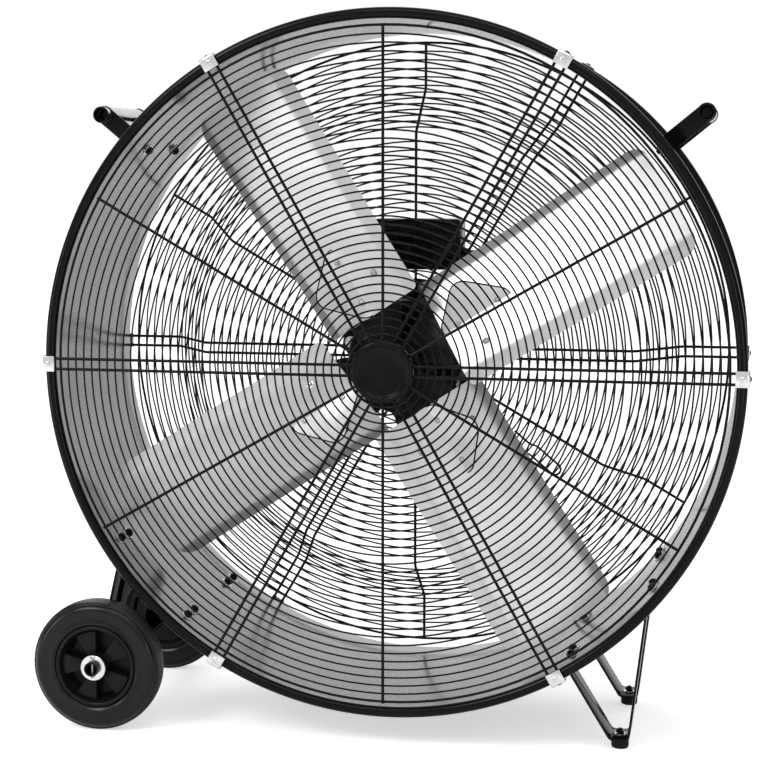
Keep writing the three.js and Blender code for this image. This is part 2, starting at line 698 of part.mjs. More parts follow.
function bladeBody() {
  const half = BLADE_WIDTH / 2;
  const stations = [BLADE_ROOT_RADIUS, SPIDER_ARM_LENGTH];
  for (let i = 1; i <= 3; i += 1) {
    const share = i / 3;
    const last = BLADE_TIP_RADIUS - BLADE_CORNER;
    stations.push(SPIDER_ARM_LENGTH + (last - SPIDER_ARM_LENGTH) * share);
  }
  for (const degrees of [35, 62, 90]) {
    stations.push(BLADE_TIP_RADIUS - BLADE_CORNER * (1 - Math.sin(radians(degrees))));
  }
  const fold = BLADE_FOLD_WIDTH * Math.tan(radians(BLADE_FOLD_ANGLE));
  const rows = stations.map((radius) => {
    const into = Math.max(0, radius - (BLADE_TIP_RADIUS - BLADE_CORNER)) / BLADE_CORNER;
    const trim = BLADE_CORNER * (1 - Math.sqrt(Math.max(0, 1 - into * into)));
    const edge = half - trim;
    const bend = half - BLADE_FOLD_WIDTH;
    const crease = Math.min(bend, edge - 1);
    const rise = (fold * (edge - crease)) / BLADE_FOLD_WIDTH;
    const profile = [[-edge, rise], [-crease, 0], [crease, 0], [edge, rise]];
    return pitchedRow(radius, pitchAt(radius), profile, BLADE_SHEET);
  });
  return loft(rows);
}

function spiderArm() {
  const rise = BLADE_SHEET / 2 + GAP + SPIDER_ARM_SHEET / 2;
  const half = SPIDER_ARM_WIDTH / 2;
  const stations = [
    [SPIDER_ARM_ROOT, 0, SPIDER_ROOT_WIDTH / 2],
    [BLADE_ROOT_RADIUS, pitchAt(BLADE_ROOT_RADIUS), half],
    [SPIDER_ARM_LENGTH, pitchAt(SPIDER_ARM_LENGTH), half],
  ];
  return loft(stations.map(([radius, pitch, edge]) => (
    pitchedRow(radius, pitch, [[-edge, rise], [edge, rise]], SPIDER_ARM_SHEET)
  )));
}

function rotor() {
  rotorShaft();
  const bodies = [rod(HUB_RADIUS, HUB_FRONT, HUB_FRONT + HUB_LENGTH, 16)];
  const blade = bladeBody();
  for (let i = 0; i < BLADE_COUNT; i += 1) {
    const angle = BLADE_START + (i * 360) / BLADE_COUNT;
    bodies.push(spiderArm().rotateY(-radians(angle)));
    piece(`blade_${i + 1}`, blade, 'galvanised', turned(angle));
  }
  const bore = rod(SHAFT_RADIUS + GAP, 0, DRUM_DEPTH, 16);
  piece('blade_spider', cut(join(bodies), [bore]), 'castMetal');
}

// ------------------------------------------------------------------ switch box
function roundedRectangle(width, height, corner) {
  const [x, z] = [width / 2, height / 2];
  const shape = new THREE.Shape();
  shape.absarc(x - corner, z - corner, corner, 0, Math.PI / 2);
  shape.absarc(corner - x, z - corner, corner, Math.PI / 2, Math.PI);
  shape.absarc(corner - x, corner - z, corner, Math.PI, 1.5 * Math.PI);
  shape.absarc(x - corner, corner - z, corner, 1.5 * Math.PI, 2 * Math.PI);
  return shape;
}

function switchBox() {
  const group = new THREE.Group();
  group.position.z = BOX_RISE;
  fan.add(group);

  const outer = sheet(roundedRectangle(BOX_WIDTH, BOX_HEIGHT, BOX_CORNER), BOX_FRONT, BOX_DEPTH, 3);
  const inside = roundedRectangle(BOX_WIDTH - 2 * BOX_WALL, BOX_HEIGHT - 2 * BOX_WALL,
    BOX_CORNER - BOX_WALL);
  const hollow = sheet(inside, BOX_FRONT + BOX_WALL, BOX_DEPTH, 3);
  piece('switch_box', cut(outer, [hollow]), 'blackGloss', group);

  const coverFront = BOX_FRONT + BOX_DEPTH + GAP;
  const coverRear = coverFront + COVER_SHEET;
  const cover = sheet(roundedRectangle(BOX_WIDTH, BOX_HEIGHT, BOX_CORNER), coverFront,
    COVER_SHEET, 3);
  const stemHole = rod(KNOB_STEM_RADIUS + 2 * GAP, coverFront - 1, coverRear + 1, 12)
    .translate(KNOB_OFFSET, 0, 0);
  piece('switch_cover', cut(cover, [stemHole]), 'blackGloss', group);

  const switchRear = coverFront - GAP;
  const body = block(KNOB_OFFSET, switchRear - SWITCH_DEPTH / 2, 0, SWITCH_SIZE, SWITCH_DEPTH,
    SWITCH_SIZE);
  const stemEnd = coverRear + GAP - KNOB_STEM_LENGTH;
  const socket = rod(KNOB_STEM_RADIUS + GAP, stemEnd - GAP, switchRear + 1, 12)
    .translate(KNOB_OFFSET, 0, 0);
  piece('rotary_switch', cut(body, [socket]), 'blackPlastic', group);

  const knobFront = coverRear + GAP;
  const knobRear = knobFront + KNOB_HEIGHT;
  const knob = join([
    revolve([[0, knobFront], [KNOB_RADIUS, knobFront], [KNOB_RADIUS - KNOB_TAPER, knobRear],
      [0, knobRear]], 20),
    rod(KNOB_STEM_RADIUS, stemEnd, knobFront + WELD, 12),
    block(0, knobRear + KNOB_POINTER_HEIGHT / 2 - WELD, 0, KNOB_POINTER_WIDTH,
      KNOB_POINTER_HEIGHT, 2 * KNOB_RADIUS - KNOB_POINTER_WIDTH),
  ]);
  piece('speed_knob', knob, 'blackPlastic', group).position.x = KNOB_OFFSET;

  const nut = GLAND_LENGTH / 2;
  const nose = GLAND_RADIUS - GLAND_STEP;
  const gland = revolve([
    [GLAND_BORE, 0], [GLAND_RADIUS, 0], [GLAND_RADIUS, nut], [nose, nut],
    [nose - GLAND_TAPER, GLAND_LENGTH], [GLAND_BORE, GLAND_LENGTH],
  ], 12).rotateZ(-Math.PI / 2);
  const glandMesh = piece('cable_gland', gland, 'blackPlastic', group);
  glandMesh.position.set(BOX_WIDTH / 2 + GAP, BOX_FRONT + BOX_DEPTH / 2, -GLAND_DROP);
}

// A wire hook for the cord: its two ends lie on the rings, and its loop stands off behind them.
function cordHook() {
  const lying = DISH_PAIR_AXIS - SPOKE_RADIUS + HOOK_WIRE_RADIUS;
  const standing = lying + HOOK_STAND;
  const half = HOOK_SPREAD / 2;
  const side = (sign) => [
    [-HOOK_ROOT, lying, sign * half], [-HOOK_CRANK / 4, lying, sign * half],
    [HOOK_CRANK / 4, lying + HOOK_STAND / 5, sign * half],
    [HOOK_CRANK / 2, standing - HOOK_STAND / 5, sign * half], [HOOK_CRANK, standing, sign * half],
    [HOOK_LENGTH - half, standing, sign * half],
  ];
  const bend = [60, 20, -20, -60].map((degrees) => [
    HOOK_LENGTH - half + half * Math.cos(radians(degrees)), standing,
    half * Math.sin(radians(degrees)),
  ]);
  const points = [...side(1), ...bend, ...side(-1).reverse()]
    .map(([x, y, z]) => new THREE.Vector3(x, y, z));
  const curve = new THREE.CatmullRomCurve3(points, false, 'catmullrom', 0.1);
  const section = new THREE.Shape();
  section.absarc(0, 0, HOOK_WIRE_RADIUS, 0, 2 * Math.PI);
  const hook = new THREE.ExtrudeGeometry(section, {
    steps: 26, extrudePath: curve, bevelEnabled: false, curveSegments: 3,
  });
  const mesh = piece('cord_hook', hook, 'blackWire', turned(HOOK_ANGLE));
  mesh.position.x = HOOK_RADIUS;
}

// ------------------------------------------------------------------ handles
function bracketBody() {
  const half = BRACKET_WIDTH / 2;
  const eye = HANDLE_TUBE_RADIUS + BRACKET_SHEET;
  const hug = Math.asin(Math.min(1, half / eye));
  const shape = new THREE.Shape();
  shape.moveTo(DRUM_SEAT, -half);
  shape.absarc(HANDLE_RADIUS, 0, eye, hug - Math.PI, Math.PI - hug);
  shape.lineTo(DRUM_SEAT, half);
  const hole = new THREE.Path();
  const sides = HANDLE_SIDES;
  hole.setFromPoints(Array.from({ length: sides }, (_, i) => {
    const angle = -(i / sides) * 2 * Math.PI;
    const reach = HANDLE_TUBE_RADIUS + GAP * 1.2;
    return new THREE.Vector2(HANDLE_RADIUS + reach * Math.cos(angle), reach * Math.sin(angle));
  }));
  shape.holes.push(hole);
  const plate = sheet(shape, 0, BRACKET_SHEET, 6);
  const foot = block(DRUM_SEAT + BRACKET_SHEET / 2, BRACKET_FOOT / 2, 0, BRACKET_SHEET,
    BRACKET_FOOT, BRACKET_WIDTH);
  return join([plate, foot]);
}

function handle(side, degrees) {
  const place = turned(degrees);
  const bracket = bracketBody();
  const front = piece(`handle_bracket_${side}_front`, bracket, 'blackGloss', place);
  front.position.y = DRUM_MIDDLE - HANDLE_SPACING / 2;
  const rear = piece(`handle_bracket_${side}_rear`, bracket, 'blackGloss', place);
  rear.rotation.x = Math.PI;
  rear.position.y = DRUM_MIDDLE + HANDLE_SPACING / 2;

  const half = HANDLE_SPACING / 2 + HANDLE_OVERHANG;
  const bore = HANDLE_TUBE_RADIUS - HANDLE_TUBE_WALL;
  const tube = piece(`handle_tube_${side}`,
    ringBody(bore, HANDLE_TUBE_RADIUS, -half, half, HANDLE_SIDES), 'blackGloss', place);
  tube.position.set(HANDLE_RADIUS, DRUM_MIDDLE, 0);

  const plug = bore - GAP;
  const cap = revolve([
    [0, 0], [HANDLE_TUBE_RADIUS - CAP_BEVEL, 0], [HANDLE_TUBE_RADIUS, CAP_BEVEL],
    [HANDLE_TUBE_RADIUS, CAP_HEAD], [plug, CAP_HEAD], [plug, CAP_HEAD + CAP_PLUG],
    [0, CAP_HEAD + CAP_PLUG],
  ], HANDLE_SIDES);
  const reach = half + GAP + CAP_HEAD;
  const capFront = piece(`handle_cap_${side}_front`, cap, 'blackPlastic', place);
  capFront.position.set(HANDLE_RADIUS, DRUM_MIDDLE - reach, 0);
  const capRear = piece(`handle_cap_${side}_rear`, cap, 'blackPlastic', place);
  capRear.rotation.x = Math.PI;
  capRear.position.set(HANDLE_RADIUS, DRUM_MIDDLE + reach, 0);
}

// ------------------------------------------------------------------ legs
// The two ends of a strap flange that lies on the drum at an angle: [lower angle, higher angle].
function flangeEnds(degrees) {
  const angle = radians(degrees);
  const seat = DRUM_SEAT + STRAP_SHEET / 2;
  const reach = STRAP_FLANGE / 2;
  return [-reach, reach].map((t) => [
    seat * Math.cos(angle) - t * Math.sin(angle),
    seat * Math.sin(angle) + t * Math.cos(angle),
  ]);
}

// Where a line from a point touches a circle, on the side that sign picks.
function touch([px, pz], [cx, cz], radius, sign) {
  const away = Math.atan2(pz - cz, px - cx);
  const spread = Math.acos(radius / Math.hypot(px - cx, pz - cz));
  return away + sign * spread;
}

function wheelStrap() {
  const [first, second] = WHEEL_STRAP_ANGLES.map(flangeEnds);
  const wrap = AXLE_RADIUS + GAP + STRAP_SHEET / 2;
  const axle = [AXLE_X, AXLE_DROP];
  const from = touch(first[1], axle, wrap, 1);
  const to = touch(second[0], axle, wrap, -1);
  const sweep = THREE.MathUtils.euclideanModulo(to - from, 2 * Math.PI);
  const steps = 7;
  const bend = Array.from({ length: steps + 1 }, (_, i) => {
    const angle = from + (sweep * i) / steps;
    const reach = wrap / Math.cos(sweep / steps / 2);
    return new THREE.Vector2(axle[0] + reach * Math.cos(angle), axle[1] + reach * Math.sin(angle));
  });
  const start = [bend[0].x, bend[0].y];
  const end = [bend[steps].x, bend[steps].y];
  const down = filleted([first[0], first[1], start], STRAP_BEND).slice(0, -1);
  const up = filleted([end, second[0], second[1]], STRAP_BEND).slice(1);
  return [...down, ...bend, ...up];
}

function footStrap() {
  const [first, second] = FOOT_STRAP_ANGLES.map(flangeEnds);
  const z = -AXIS_HEIGHT + FOOT_HEIGHT + GAP + STRAP_SHEET / 2;
  const half = FOOT_FLAT / 2;
  return filleted([first[1], first[0], [FOOT_X - half, z], [FOOT_X + half, z], second[0],
    second[1]], STRAP_BEND);
}

function legs() {
  const straps = [['front', 0], ['rear', STRAP_SPACING]];
  const floor = -AXIS_HEIGHT;
  const footTop = floor + FOOT_HEIGHT;
  for (const [end, shift] of straps) {
    const y = STRAP_FRONT_EDGE + shift;
    piece(`wheel_strap_${end}`, bentBar(wheelStrap(), STRAP_SHEET, y, STRAP_WIDTH), 'blackGloss');
    piece(`foot_strap_${end}`, bentBar(footStrap(), STRAP_SHEET, y, STRAP_WIDTH), 'blackGloss');
    const foot = new THREE.CylinderGeometry(FOOT_RADIUS, FOOT_RADIUS - FOOT_TAPER, FOOT_HEIGHT, 16)
      .rotateX(Math.PI / 2);
    const mesh = piece(`rubber_foot_${end}`, foot, 'rubber');
    mesh.position.set(FOOT_X, y + STRAP_WIDTH / 2, (floor + footTop) / 2);
  }
}

// ------------------------------------------------------------------ axle and wheels
function wheelRim() {
  const bore = AXLE_RADIUS + HUB_BORE_CLEARANCE;
  const hub = WHEEL_HUB_RADIUS;
  const half = WHEEL_WIDTH / 2;
  const nose = -half - WHEEL_HUB_NOSE;
  const tail = half + WHEEL_STANDOFF - GAP;
  const lip = half - RIM_LIP_INSET;
  const webFront = -RIM_WEB;
  const ledge = TYRE_BORE - RIM_LEDGE;
  const webInner = hub + RIM_DRAFT;
  const webOuter = ledge - 2 * RIM_DRAFT;
  const outline = [
    [bore, nose], [hub, nose], [webInner, webFront], [webOuter, webFront + RIM_DRAFT],
    [ledge, -lip], [TYRE_BORE, -lip], [TYRE_BORE, lip], [ledge, lip], [webOuter, RIM_DRAFT],
    [webInner, 0], [hub, tail], [bore, tail],
  ];
  const bodies = [revolve(outline, RIM_WEDGES * 4)];
  const span = radians(180 / RIM_WEDGES);
  for (let i = 0; i < RIM_WEDGES; i += 1) {
    const start = (i * 2 * Math.PI) / RIM_WEDGES + Math.PI / 2;
    const [inner, outer] = [hub - WELD * 2, ledge - RIM_DRAFT];
    const shape = new THREE.Shape([
      [inner, 0], [outer, 0], [outer, span / 2], [outer, span], [inner, span], [inner, span / 2],
    ].map(([r, a]) => new THREE.Vector2(r * Math.cos(start + a), r * Math.sin(start + a))));
    bodies.push(sheet(shape, webFront - RIM_WEDGE_HEIGHT, RIM_WEDGE_HEIGHT + RIM_WEB / 2));
  }
  return join(bodies);
}

function tyre() {
  const half = WHEEL_WIDTH / 2;
  const bore = TYRE_BORE + GAP;
  const quarter = [
    [bore, half - TYRE_BEAD_INSET], [bore + TYRE_BEAD_WIDTH, half],
    [WHEEL_RADIUS - TYRE_SHOULDER_WIDTH, half - TYRE_SHOULDER_INSET],
    [WHEEL_RADIUS, half - TYRE_TREAD_INSET],
  ];
  const mirrored = quarter.map(([r, y]) => [r, -y]).reverse();
  return revolve([...quarter, ...mirrored], 36);
}

function axleAndWheels() {
  const place = new THREE.Group();
  place.position.set(AXLE_X, 0, AXLE_DROP);
  fan.add(place);
  const rearOf = (y) => DRUM_DEPTH - y;

  const holes = [PIN_AXIS, rearOf(PIN_AXIS)].map((y) => (
    new THREE.CylinderGeometry(PIN_RADIUS + GAP, PIN_RADIUS + GAP, AXLE_RADIUS * 3, 8)
      .rotateX(Math.PI / 2).translate(0, y, 0)
  ));
  const tube = ringBody(AXLE_RADIUS - AXLE_WALL, AXLE_RADIUS, AXLE_FRONT, rearOf(AXLE_FRONT),
    AXLE_SIDES);
  piece('axle', cut(tube, holes), 'blackGloss', place);

  const rim = wheelRim();
  const tread = tyre();
  const washer = ringBody(AXLE_RADIUS + GAP, WASHER_RADIUS, -WASHER_SHEET / 2, WASHER_SHEET / 2,
    AXLE_SIDES);
  const pinLength = 2 * (AXLE_RADIUS + PIN_OVERHANG);
  const pin = join([
    new THREE.CylinderGeometry(PIN_RADIUS, PIN_RADIUS, pinLength, 6),
    new THREE.CylinderGeometry(PIN_HEAD, PIN_HEAD, 2 * PIN_RADIUS, 8)
      .rotateX(Math.PI / 2).translate(0, pinLength / 2, 0),
  ]).rotateX(Math.PI / 2);
  for (const [end, side] of [['front', 1], ['rear', -1]]) {
    const at = (y) => (side > 0 ? y : rearOf(y));
    const turnAbout = side > 0 ? 0 : Math.PI;
    for (const [name, body, look, y] of [
      [`wheel_rim_${end}`, rim, 'blackPlastic', WHEEL_MIDDLE],
      [`tyre_${end}`, tread, 'rubber', WHEEL_MIDDLE],
      [`wheel_washer_${end}`, washer, 'zinc', WASHER_FRONT + WASHER_SHEET / 2],
      [`cotter_pin_${end}`, pin, 'steel', PIN_AXIS],
    ]) {
      const mesh = piece(name, body, look, place);
      mesh.position.y = at(y);
      mesh.rotation.z = turnAbout;
    }
  }
}

// ------------------------------------------------------------------ build
drumShell();
frontGuard();
rearGuard();
clips();
badge();
motor();
motorPlate();
rotor();
switchBox();
cordHook();
handle('right', HANDLE_ANGLE);
handle('left', 180 - HANDLE_ANGLE);
legs();
axleAndWheels();

const box = new THREE.Box3().setFromObject(fan, true);
const middle = box.getCenter(new THREE.Vector3());
fan.position.set(-middle.x, -middle.y, -box.min.z);
fan.updateMatrixWorld(true);

export default fan;
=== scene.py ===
"""Looks of a wheeled drum fan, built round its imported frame.

Metres, +Z up; the air leaves towards -Y. Each sub-assembly is modelled in fan space, whose origin
is the middle of the drum's front edge, with Y as the fan axis, and is then set in the frame.
"""

import logging
import math
from collections.abc import Callable, Iterable, Iterator, Sequence
from contextlib import contextmanager
from dataclasses import dataclass, field
from enum import Enum

import bmesh
import bpy
from mathutils import Matrix, Vector

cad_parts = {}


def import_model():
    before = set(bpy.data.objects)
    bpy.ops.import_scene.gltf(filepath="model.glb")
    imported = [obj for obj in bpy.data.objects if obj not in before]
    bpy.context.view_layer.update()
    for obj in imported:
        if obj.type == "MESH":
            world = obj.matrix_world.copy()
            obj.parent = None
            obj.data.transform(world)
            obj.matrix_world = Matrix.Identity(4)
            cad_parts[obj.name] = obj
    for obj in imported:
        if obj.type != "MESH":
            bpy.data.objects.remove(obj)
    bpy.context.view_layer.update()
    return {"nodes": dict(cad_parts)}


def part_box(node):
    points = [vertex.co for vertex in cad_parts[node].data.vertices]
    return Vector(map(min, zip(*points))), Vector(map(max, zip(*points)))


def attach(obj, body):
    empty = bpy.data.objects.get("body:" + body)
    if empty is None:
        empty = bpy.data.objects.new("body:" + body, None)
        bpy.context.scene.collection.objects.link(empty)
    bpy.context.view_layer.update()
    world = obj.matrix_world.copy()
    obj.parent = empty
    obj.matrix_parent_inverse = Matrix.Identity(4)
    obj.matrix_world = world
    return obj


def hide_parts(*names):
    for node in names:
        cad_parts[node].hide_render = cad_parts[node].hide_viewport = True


LOG = logging.getLogger("drum_fan")
MM = 0.001
MERGE = 0.01 * MM
GAP = 0.3 * MM
FULL_TURN = 2 * math.pi
CORNERS = ((-1, -1), (1, -1), (1, 1), (-1, 1))

Outline = Sequence[tuple[float, float]]
Test = Callable[[Vector, Vector], bool]


class Body(Enum):
    """The frame's bodies that a piece can ride on."""

    BASE = "base"
    ROTOR = "rotor"
    WHEEL_FRONT = "wheel_front"
    WHEEL_REAR = "wheel_rear"
    KNOB = "knob"


class End(Enum):
    """The two ends of the drum, with the way that each one faces along the fan axis."""

    FRONT = -1
    REAR = 1

    @property
    def word(self) -> str:
        """The end's name as the frame's nodes spell it."""
        return self.name.lower()


# ------------------------------------------------------------------ finishes
class NodeBench:
    """Adds and wires the nodes of one tree."""

    def __init__(self, tree: bpy.types.NodeTree) -> None:
        """Starts on a tree, with its texture coordinates."""
        self.tree = tree
        self.coordinates = self.add("TexCoord", {}).outputs

    def feed(self, node: bpy.types.Node, inputs: dict[str | int, object]) -> None:
        """Gives a node a value or a socket for each input that it names."""
        for key, value in inputs.items():
            if isinstance(value, bpy.types.NodeSocket):
                self.tree.links.new(value, node.inputs[key])
            else:
                node.inputs[key].default_value = value

    def add(self, kind: str, inputs: dict[str | int, object]) -> bpy.types.Node:
        """Adds a node of a type, given without its ShaderNode prefix, and feeds it."""
        node = self.tree.nodes.new(f"ShaderNode{kind}")
        self.feed(node, inputs)
        return node

    def math(self, kind: str, *values: object, clamp: bool = False) -> bpy.types.NodeSocket:
        """The result of one Math operation, kept from 0 to 1 where clamp is set."""
        node = self.add("Math", dict(enumerate(values)))
        node.operation = kind
        node.use_clamp = clamp
        return node.outputs[0]


class MaterialBench(NodeBench):
    """Adds and wires the shader nodes of one material."""

    def __init__(self, name: str) -> None:
        """Starts a material of that name with its plain shader."""
        self.material = bpy.data.materials.new(name)
        self.material.use_nodes = True
        super().__init__(self.material.node_tree)
        self.shader = self.tree.nodes["Principled BSDF"]

    def noise(self, scale: float, detail: float = 3.0,
              stretch: tuple[float, float, float] = (1.0, 1.0, 1.0)) -> bpy.types.NodeSocket:
        """Noise over the object's own space.

        Args:
            scale: cells per metre.
            detail: layers of finer noise.
            stretch: how much denser the noise is along each direction.

        Returns:
            The noise, from 0 to 1.
        """
        mapping = self.add("Mapping", {"Vector": self.coordinates["Object"], "Scale": stretch})
        inputs = {"Vector": mapping.outputs[0], "Scale": scale, "Detail": detail}
        return self.add("TexNoise", inputs).outputs["Fac"]

    def spread(self, value: bpy.types.NodeSocket, low: float, high: float) -> bpy.types.NodeSocket:
        """Maps the middle of a 0 to 1 pattern to the range from low to high."""
        inputs = {"Value": value, "From Min": 0.3, "From Max": 0.7, "To Min": low, "To Max": high}
        return self.add("MapRange", inputs).outputs[0]

    def blend(self, share: bpy.types.NodeSocket, first: tuple[float, ...],
              second: tuple[float, ...]) -> bpy.types.NodeSocket:
        """A colour between two colours, by a 0 to 1 share."""
        node = self.add("Mix", {0: share, 6: (*first, 1.0), 7: (*second, 1.0)})
        node.data_type = "RGBA"
        return node.outputs[2]

    def bump(self, height: bpy.types.NodeSocket, depth: float) -> None:
        """Gives the shader a relief of that depth in metres."""
        relief = self.add("Bump", {"Height": height, "Distance": depth, "Strength": 1.0})
        self.feed(self.shader, {"Normal": relief.outputs[0]})


@dataclass(frozen=True)
class Finish:
    """A surface finish whose detail comes from noise in the object's own space.

    colour and worn are the two colours that the mottling runs between. slot names the
    record's material slot and is not used here. Scales are cells per metre.
    """

    name: str
    slot: str
    colour: tuple[float, float, float]
    worn: tuple[float, float, float]
    metallic: float
    roughness: float
    specular: float = 0.5
    mottle: float = 25.0
    grain: float = 900.0
    grain_depth: float = 0.02 * MM
    roughness_spread: float = 0.06
    stretch: tuple[float, float, float] = (1.0, 1.0, 1.0)

    def build(self) -> bpy.types.Material:
        """Makes the finish's material."""
        bench = MaterialBench(self.name)
        mottle = bench.noise(self.mottle, 5.0, self.stretch)
        low = max(0.0, self.roughness - self.roughness_spread)
        bench.feed(bench.shader, {
            "Metallic": self.metallic,
            "Specular IOR Level": self.specular,
            "Base Color": bench.blend(bench.spread(mottle, 0.0, 1.0), self.colour, self.worn),
            "Roughness": bench.spread(mottle, low, self.roughness + self.roughness_spread),
        })
        bench.bump(bench.noise(self.grain, 2.0), self.grain_depth)
        return bench.material


class Paint:
    """The fan's finishes, each made once."""

    ENAMEL = Finish("black_gloss_enamel", "black_enamel", (0.0025, 0.0025, 0.003),
                    (0.004, 0.004, 0.0045), 0.0, 0.13, 0.12, 14.0, 420.0, 0.004 * MM, 0.03)
    WIRE = Finish("black_wire_coat", "black_wire", (0.003, 0.003, 0.0035),
                  (0.005, 0.005, 0.0055), 0.0, 0.24, 0.12, 60.0, 1500.0, 0.01 * MM)
    MOTOR = Finish("motor_paint", "motor_enamel", (0.003, 0.003, 0.0035),
                   (0.005, 0.005, 0.006), 0.0, 0.3, 0.09, 40.0, 650.0, 0.04 * MM)
    SHEET = Finish("rolled_blade_sheet", "galvanised_sheet", (0.78, 0.783, 0.787),
                   (0.70, 0.703, 0.707), 0.75, 0.36, 0.5, 12.0, 1400.0, 0.003 * MM, 0.04,
                   stretch=(0.4, 1.0, 1.6))
    DRUM = Finish("drum_lining", "galvanised_sheet", (0.34, 0.343, 0.348),
                  (0.26, 0.263, 0.268), 0.95, 0.2, 0.5, 6.0, 900.0, 0.0, 0.04,
                  stretch=(1.0, 0.35, 1.0))
    ZINC = Finish("zinc_plate", "zinc_hardware", (0.82, 0.825, 0.83),
                  (0.68, 0.69, 0.70), 0.95, 0.22, 0.5, 120.0, 1800.0, 0.006 * MM)
    STEEL = Finish("bare_steel", "bare_steel", (0.56, 0.565, 0.57),
                   (0.44, 0.445, 0.45), 0.95, 0.24, 0.5, 90.0, 1600.0, 0.006 * MM)
    TUBE = Finish("polished_grip_tube", "zinc_hardware", (0.62, 0.622, 0.625),
                  (0.54, 0.542, 0.545), 0.95, 0.16, 0.5, 30.0, 1600.0, 0.004 * MM)
    COPPER = Finish("enamelled_copper", "winding_copper", (0.62, 0.25, 0.09),
                    (0.35, 0.13, 0.05), 0.85, 0.35, 0.5, 200.0, 900.0, 0.3 * MM)
    PLASTIC = Finish("moulded_plastic", "black_plastic", (0.005, 0.005, 0.0055),
                     (0.007, 0.007, 0.0075), 0.0, 0.34, 0.14, 50.0, 1300.0, 0.02 * MM)
    RUBBER = Finish("foot_rubber", "foot_rubber", (0.005, 0.005, 0.005),
                    (0.011, 0.0105, 0.01), 0.0, 0.5, 0.2, 70.0, 1100.0, 0.04 * MM)
    TYRE = Finish("tyre_rubber", "tyre_rubber", (0.004, 0.004, 0.0045),
                  (0.007, 0.0068, 0.0065), 0.0, 0.25, 0.24, 45.0, 1000.0, 0.012 * MM, 0.04)

    _made: dict[str, bpy.types.Material] = {}

    @classmethod
    def of(cls, finish: Finish) -> bpy.types.Material:
        """The material of a finish, made at its first use."""
        if finish.name not in cls._made:
            cls._made[finish.name] = finish.build()
        return cls._made[finish.name]


# ------------------------------------------------------------------ bench work
def deselect_all() -> None:
    """Clears the selection, which the frame's nodes and new primitives fill."""
    bpy.ops.object.select_all(action="DESELECT")


def take(piece: bpy.types.Object) -> None:
    """Makes one piece the only selected one and the active one."""
    deselect_all()
    piece.select_set(True)
    bpy.context.view_layer.objects.active = piece


def named(name: str) -> bpy.types.Object:
    """Names the primitive that was just added, and its mesh."""
    piece = bpy.context.object
    piece.name = name
    piece.data.name = name
    return piece


@contextmanager
def editing(piece: bpy.types.Object, kind: str = "VERT") -> Iterator[None]:
    """Edit mode on one piece with nothing selected, in vertex, edge or face selection."""
    take(piece)
    bpy.ops.object.mode_set(mode="EDIT")
    bpy.ops.mesh.select_mode(type=kind)
    bpy.ops.mesh.select_all(action="DESELECT")
    yield
    bpy.ops.object.mode_set(mode="OBJECT")


def select_all() -> None:
    """Selects the whole mesh in edit mode."""
    bpy.ops.mesh.select_all(action="SELECT")


def choose_faces(piece: bpy.types.Object, test: Test) -> None:
    """Selects faces in edit mode.

    Args:
        piece: the piece in edit mode.
        test: says of a face's middle and normal whether the face is wanted.
    """
    mesh = bmesh.from_edit_mesh(piece.data)
    for face in mesh.faces:
        face.select_set(test(face.calc_center_median(), face.normal))
    bmesh.update_edit_mesh(piece.data)


def tidied() -> None:
    """Merges doubles and turns the faces outwards, in edit mode."""
    select_all()
    bpy.ops.mesh.remove_doubles(threshold=MERGE)
    bpy.ops.mesh.normals_make_consistent(inside=False)


def refined(piece: bpy.types.Object, kind: str, **settings: object) -> bpy.types.Object:
    """Applies one modifier.

    Args:
        piece: the piece that gets it.
        kind: the modifier's type.
        **settings: its values.

    Returns:
        The same piece.
    """
    take(piece)
    modifier = piece.modifiers.new(kind.title(), kind)
    for key, value in settings.items():
        setattr(modifier, key, value)
    bpy.ops.object.modifier_apply(modifier=modifier.name)
    return piece


def softened(piece: bpy.types.Object, width: float, segments: int = 2) -> bpy.types.Object:
    """Rounds a piece's sharp edges by that width."""
    return refined(piece, "BEVEL", width=width, segments=segments, limit_method="ANGLE",
                   angle_limit=math.radians(40), use_clamp_overlap=True)


def moved(piece: bpy.types.Object, matrix: Matrix) -> bpy.types.Object:
    """Moves a piece's mesh, so that its object stays at the origin."""
    piece.data.transform(piece.matrix_world)
    piece.matrix_world = Matrix.Identity(4)
    piece.data.transform(matrix)
    if matrix.determinant() < 0:
        piece.data.flip_normals()
    piece.data.update()
    return piece


def copied(piece: bpy.types.Object, name: str, matrix: Matrix) -> bpy.types.Object:
    """A copy with its own mesh, moved by a matrix."""
    twin = piece.copy()
    twin.data = piece.data.copy()
    twin.name = name
    twin.data.name = name
    bpy.context.collection.objects.link(twin)
    return moved(twin, matrix)


def scrap(piece: bpy.types.Object) -> None:
    """Removes a pattern piece once its copies are made."""
    bpy.data.objects.remove(piece)


def joined(name: str, parts: Iterable[bpy.types.Object]) -> bpy.types.Object:
    """Joins parts into one piece of that name."""
    parts = list(parts)
    take(parts[0])
    for part in parts[1:]:
        part.select_set(True)
    if len(parts) > 1:
        bpy.ops.object.join()
    return named(name)


def outlined(name: str, points: Sequence[Vector], filled: bool = False) -> bpy.types.Object:
    """Draws a line of edges by extruding one corner from point to point.

    Args:
        name: the new piece's name.
        points: the line's points.
        filled: closes the line with a face.

    Returns:
        The new piece.
    """
    bpy.ops.mesh.primitive_plane_add(size=MM)
    piece = named(name)
    with editing(piece):
        select_all()
        bpy.ops.mesh.merge(type="CENTER")
        bpy.ops.transform.translate(value=points[0])
        for start, end in zip(points, points[1:]):
            bpy.ops.mesh.extrude_vertices_move(TRANSFORM_OT_translate={"value": end - start})
        if filled:
            select_all()
            bpy.ops.mesh.edge_face_add()
    return piece


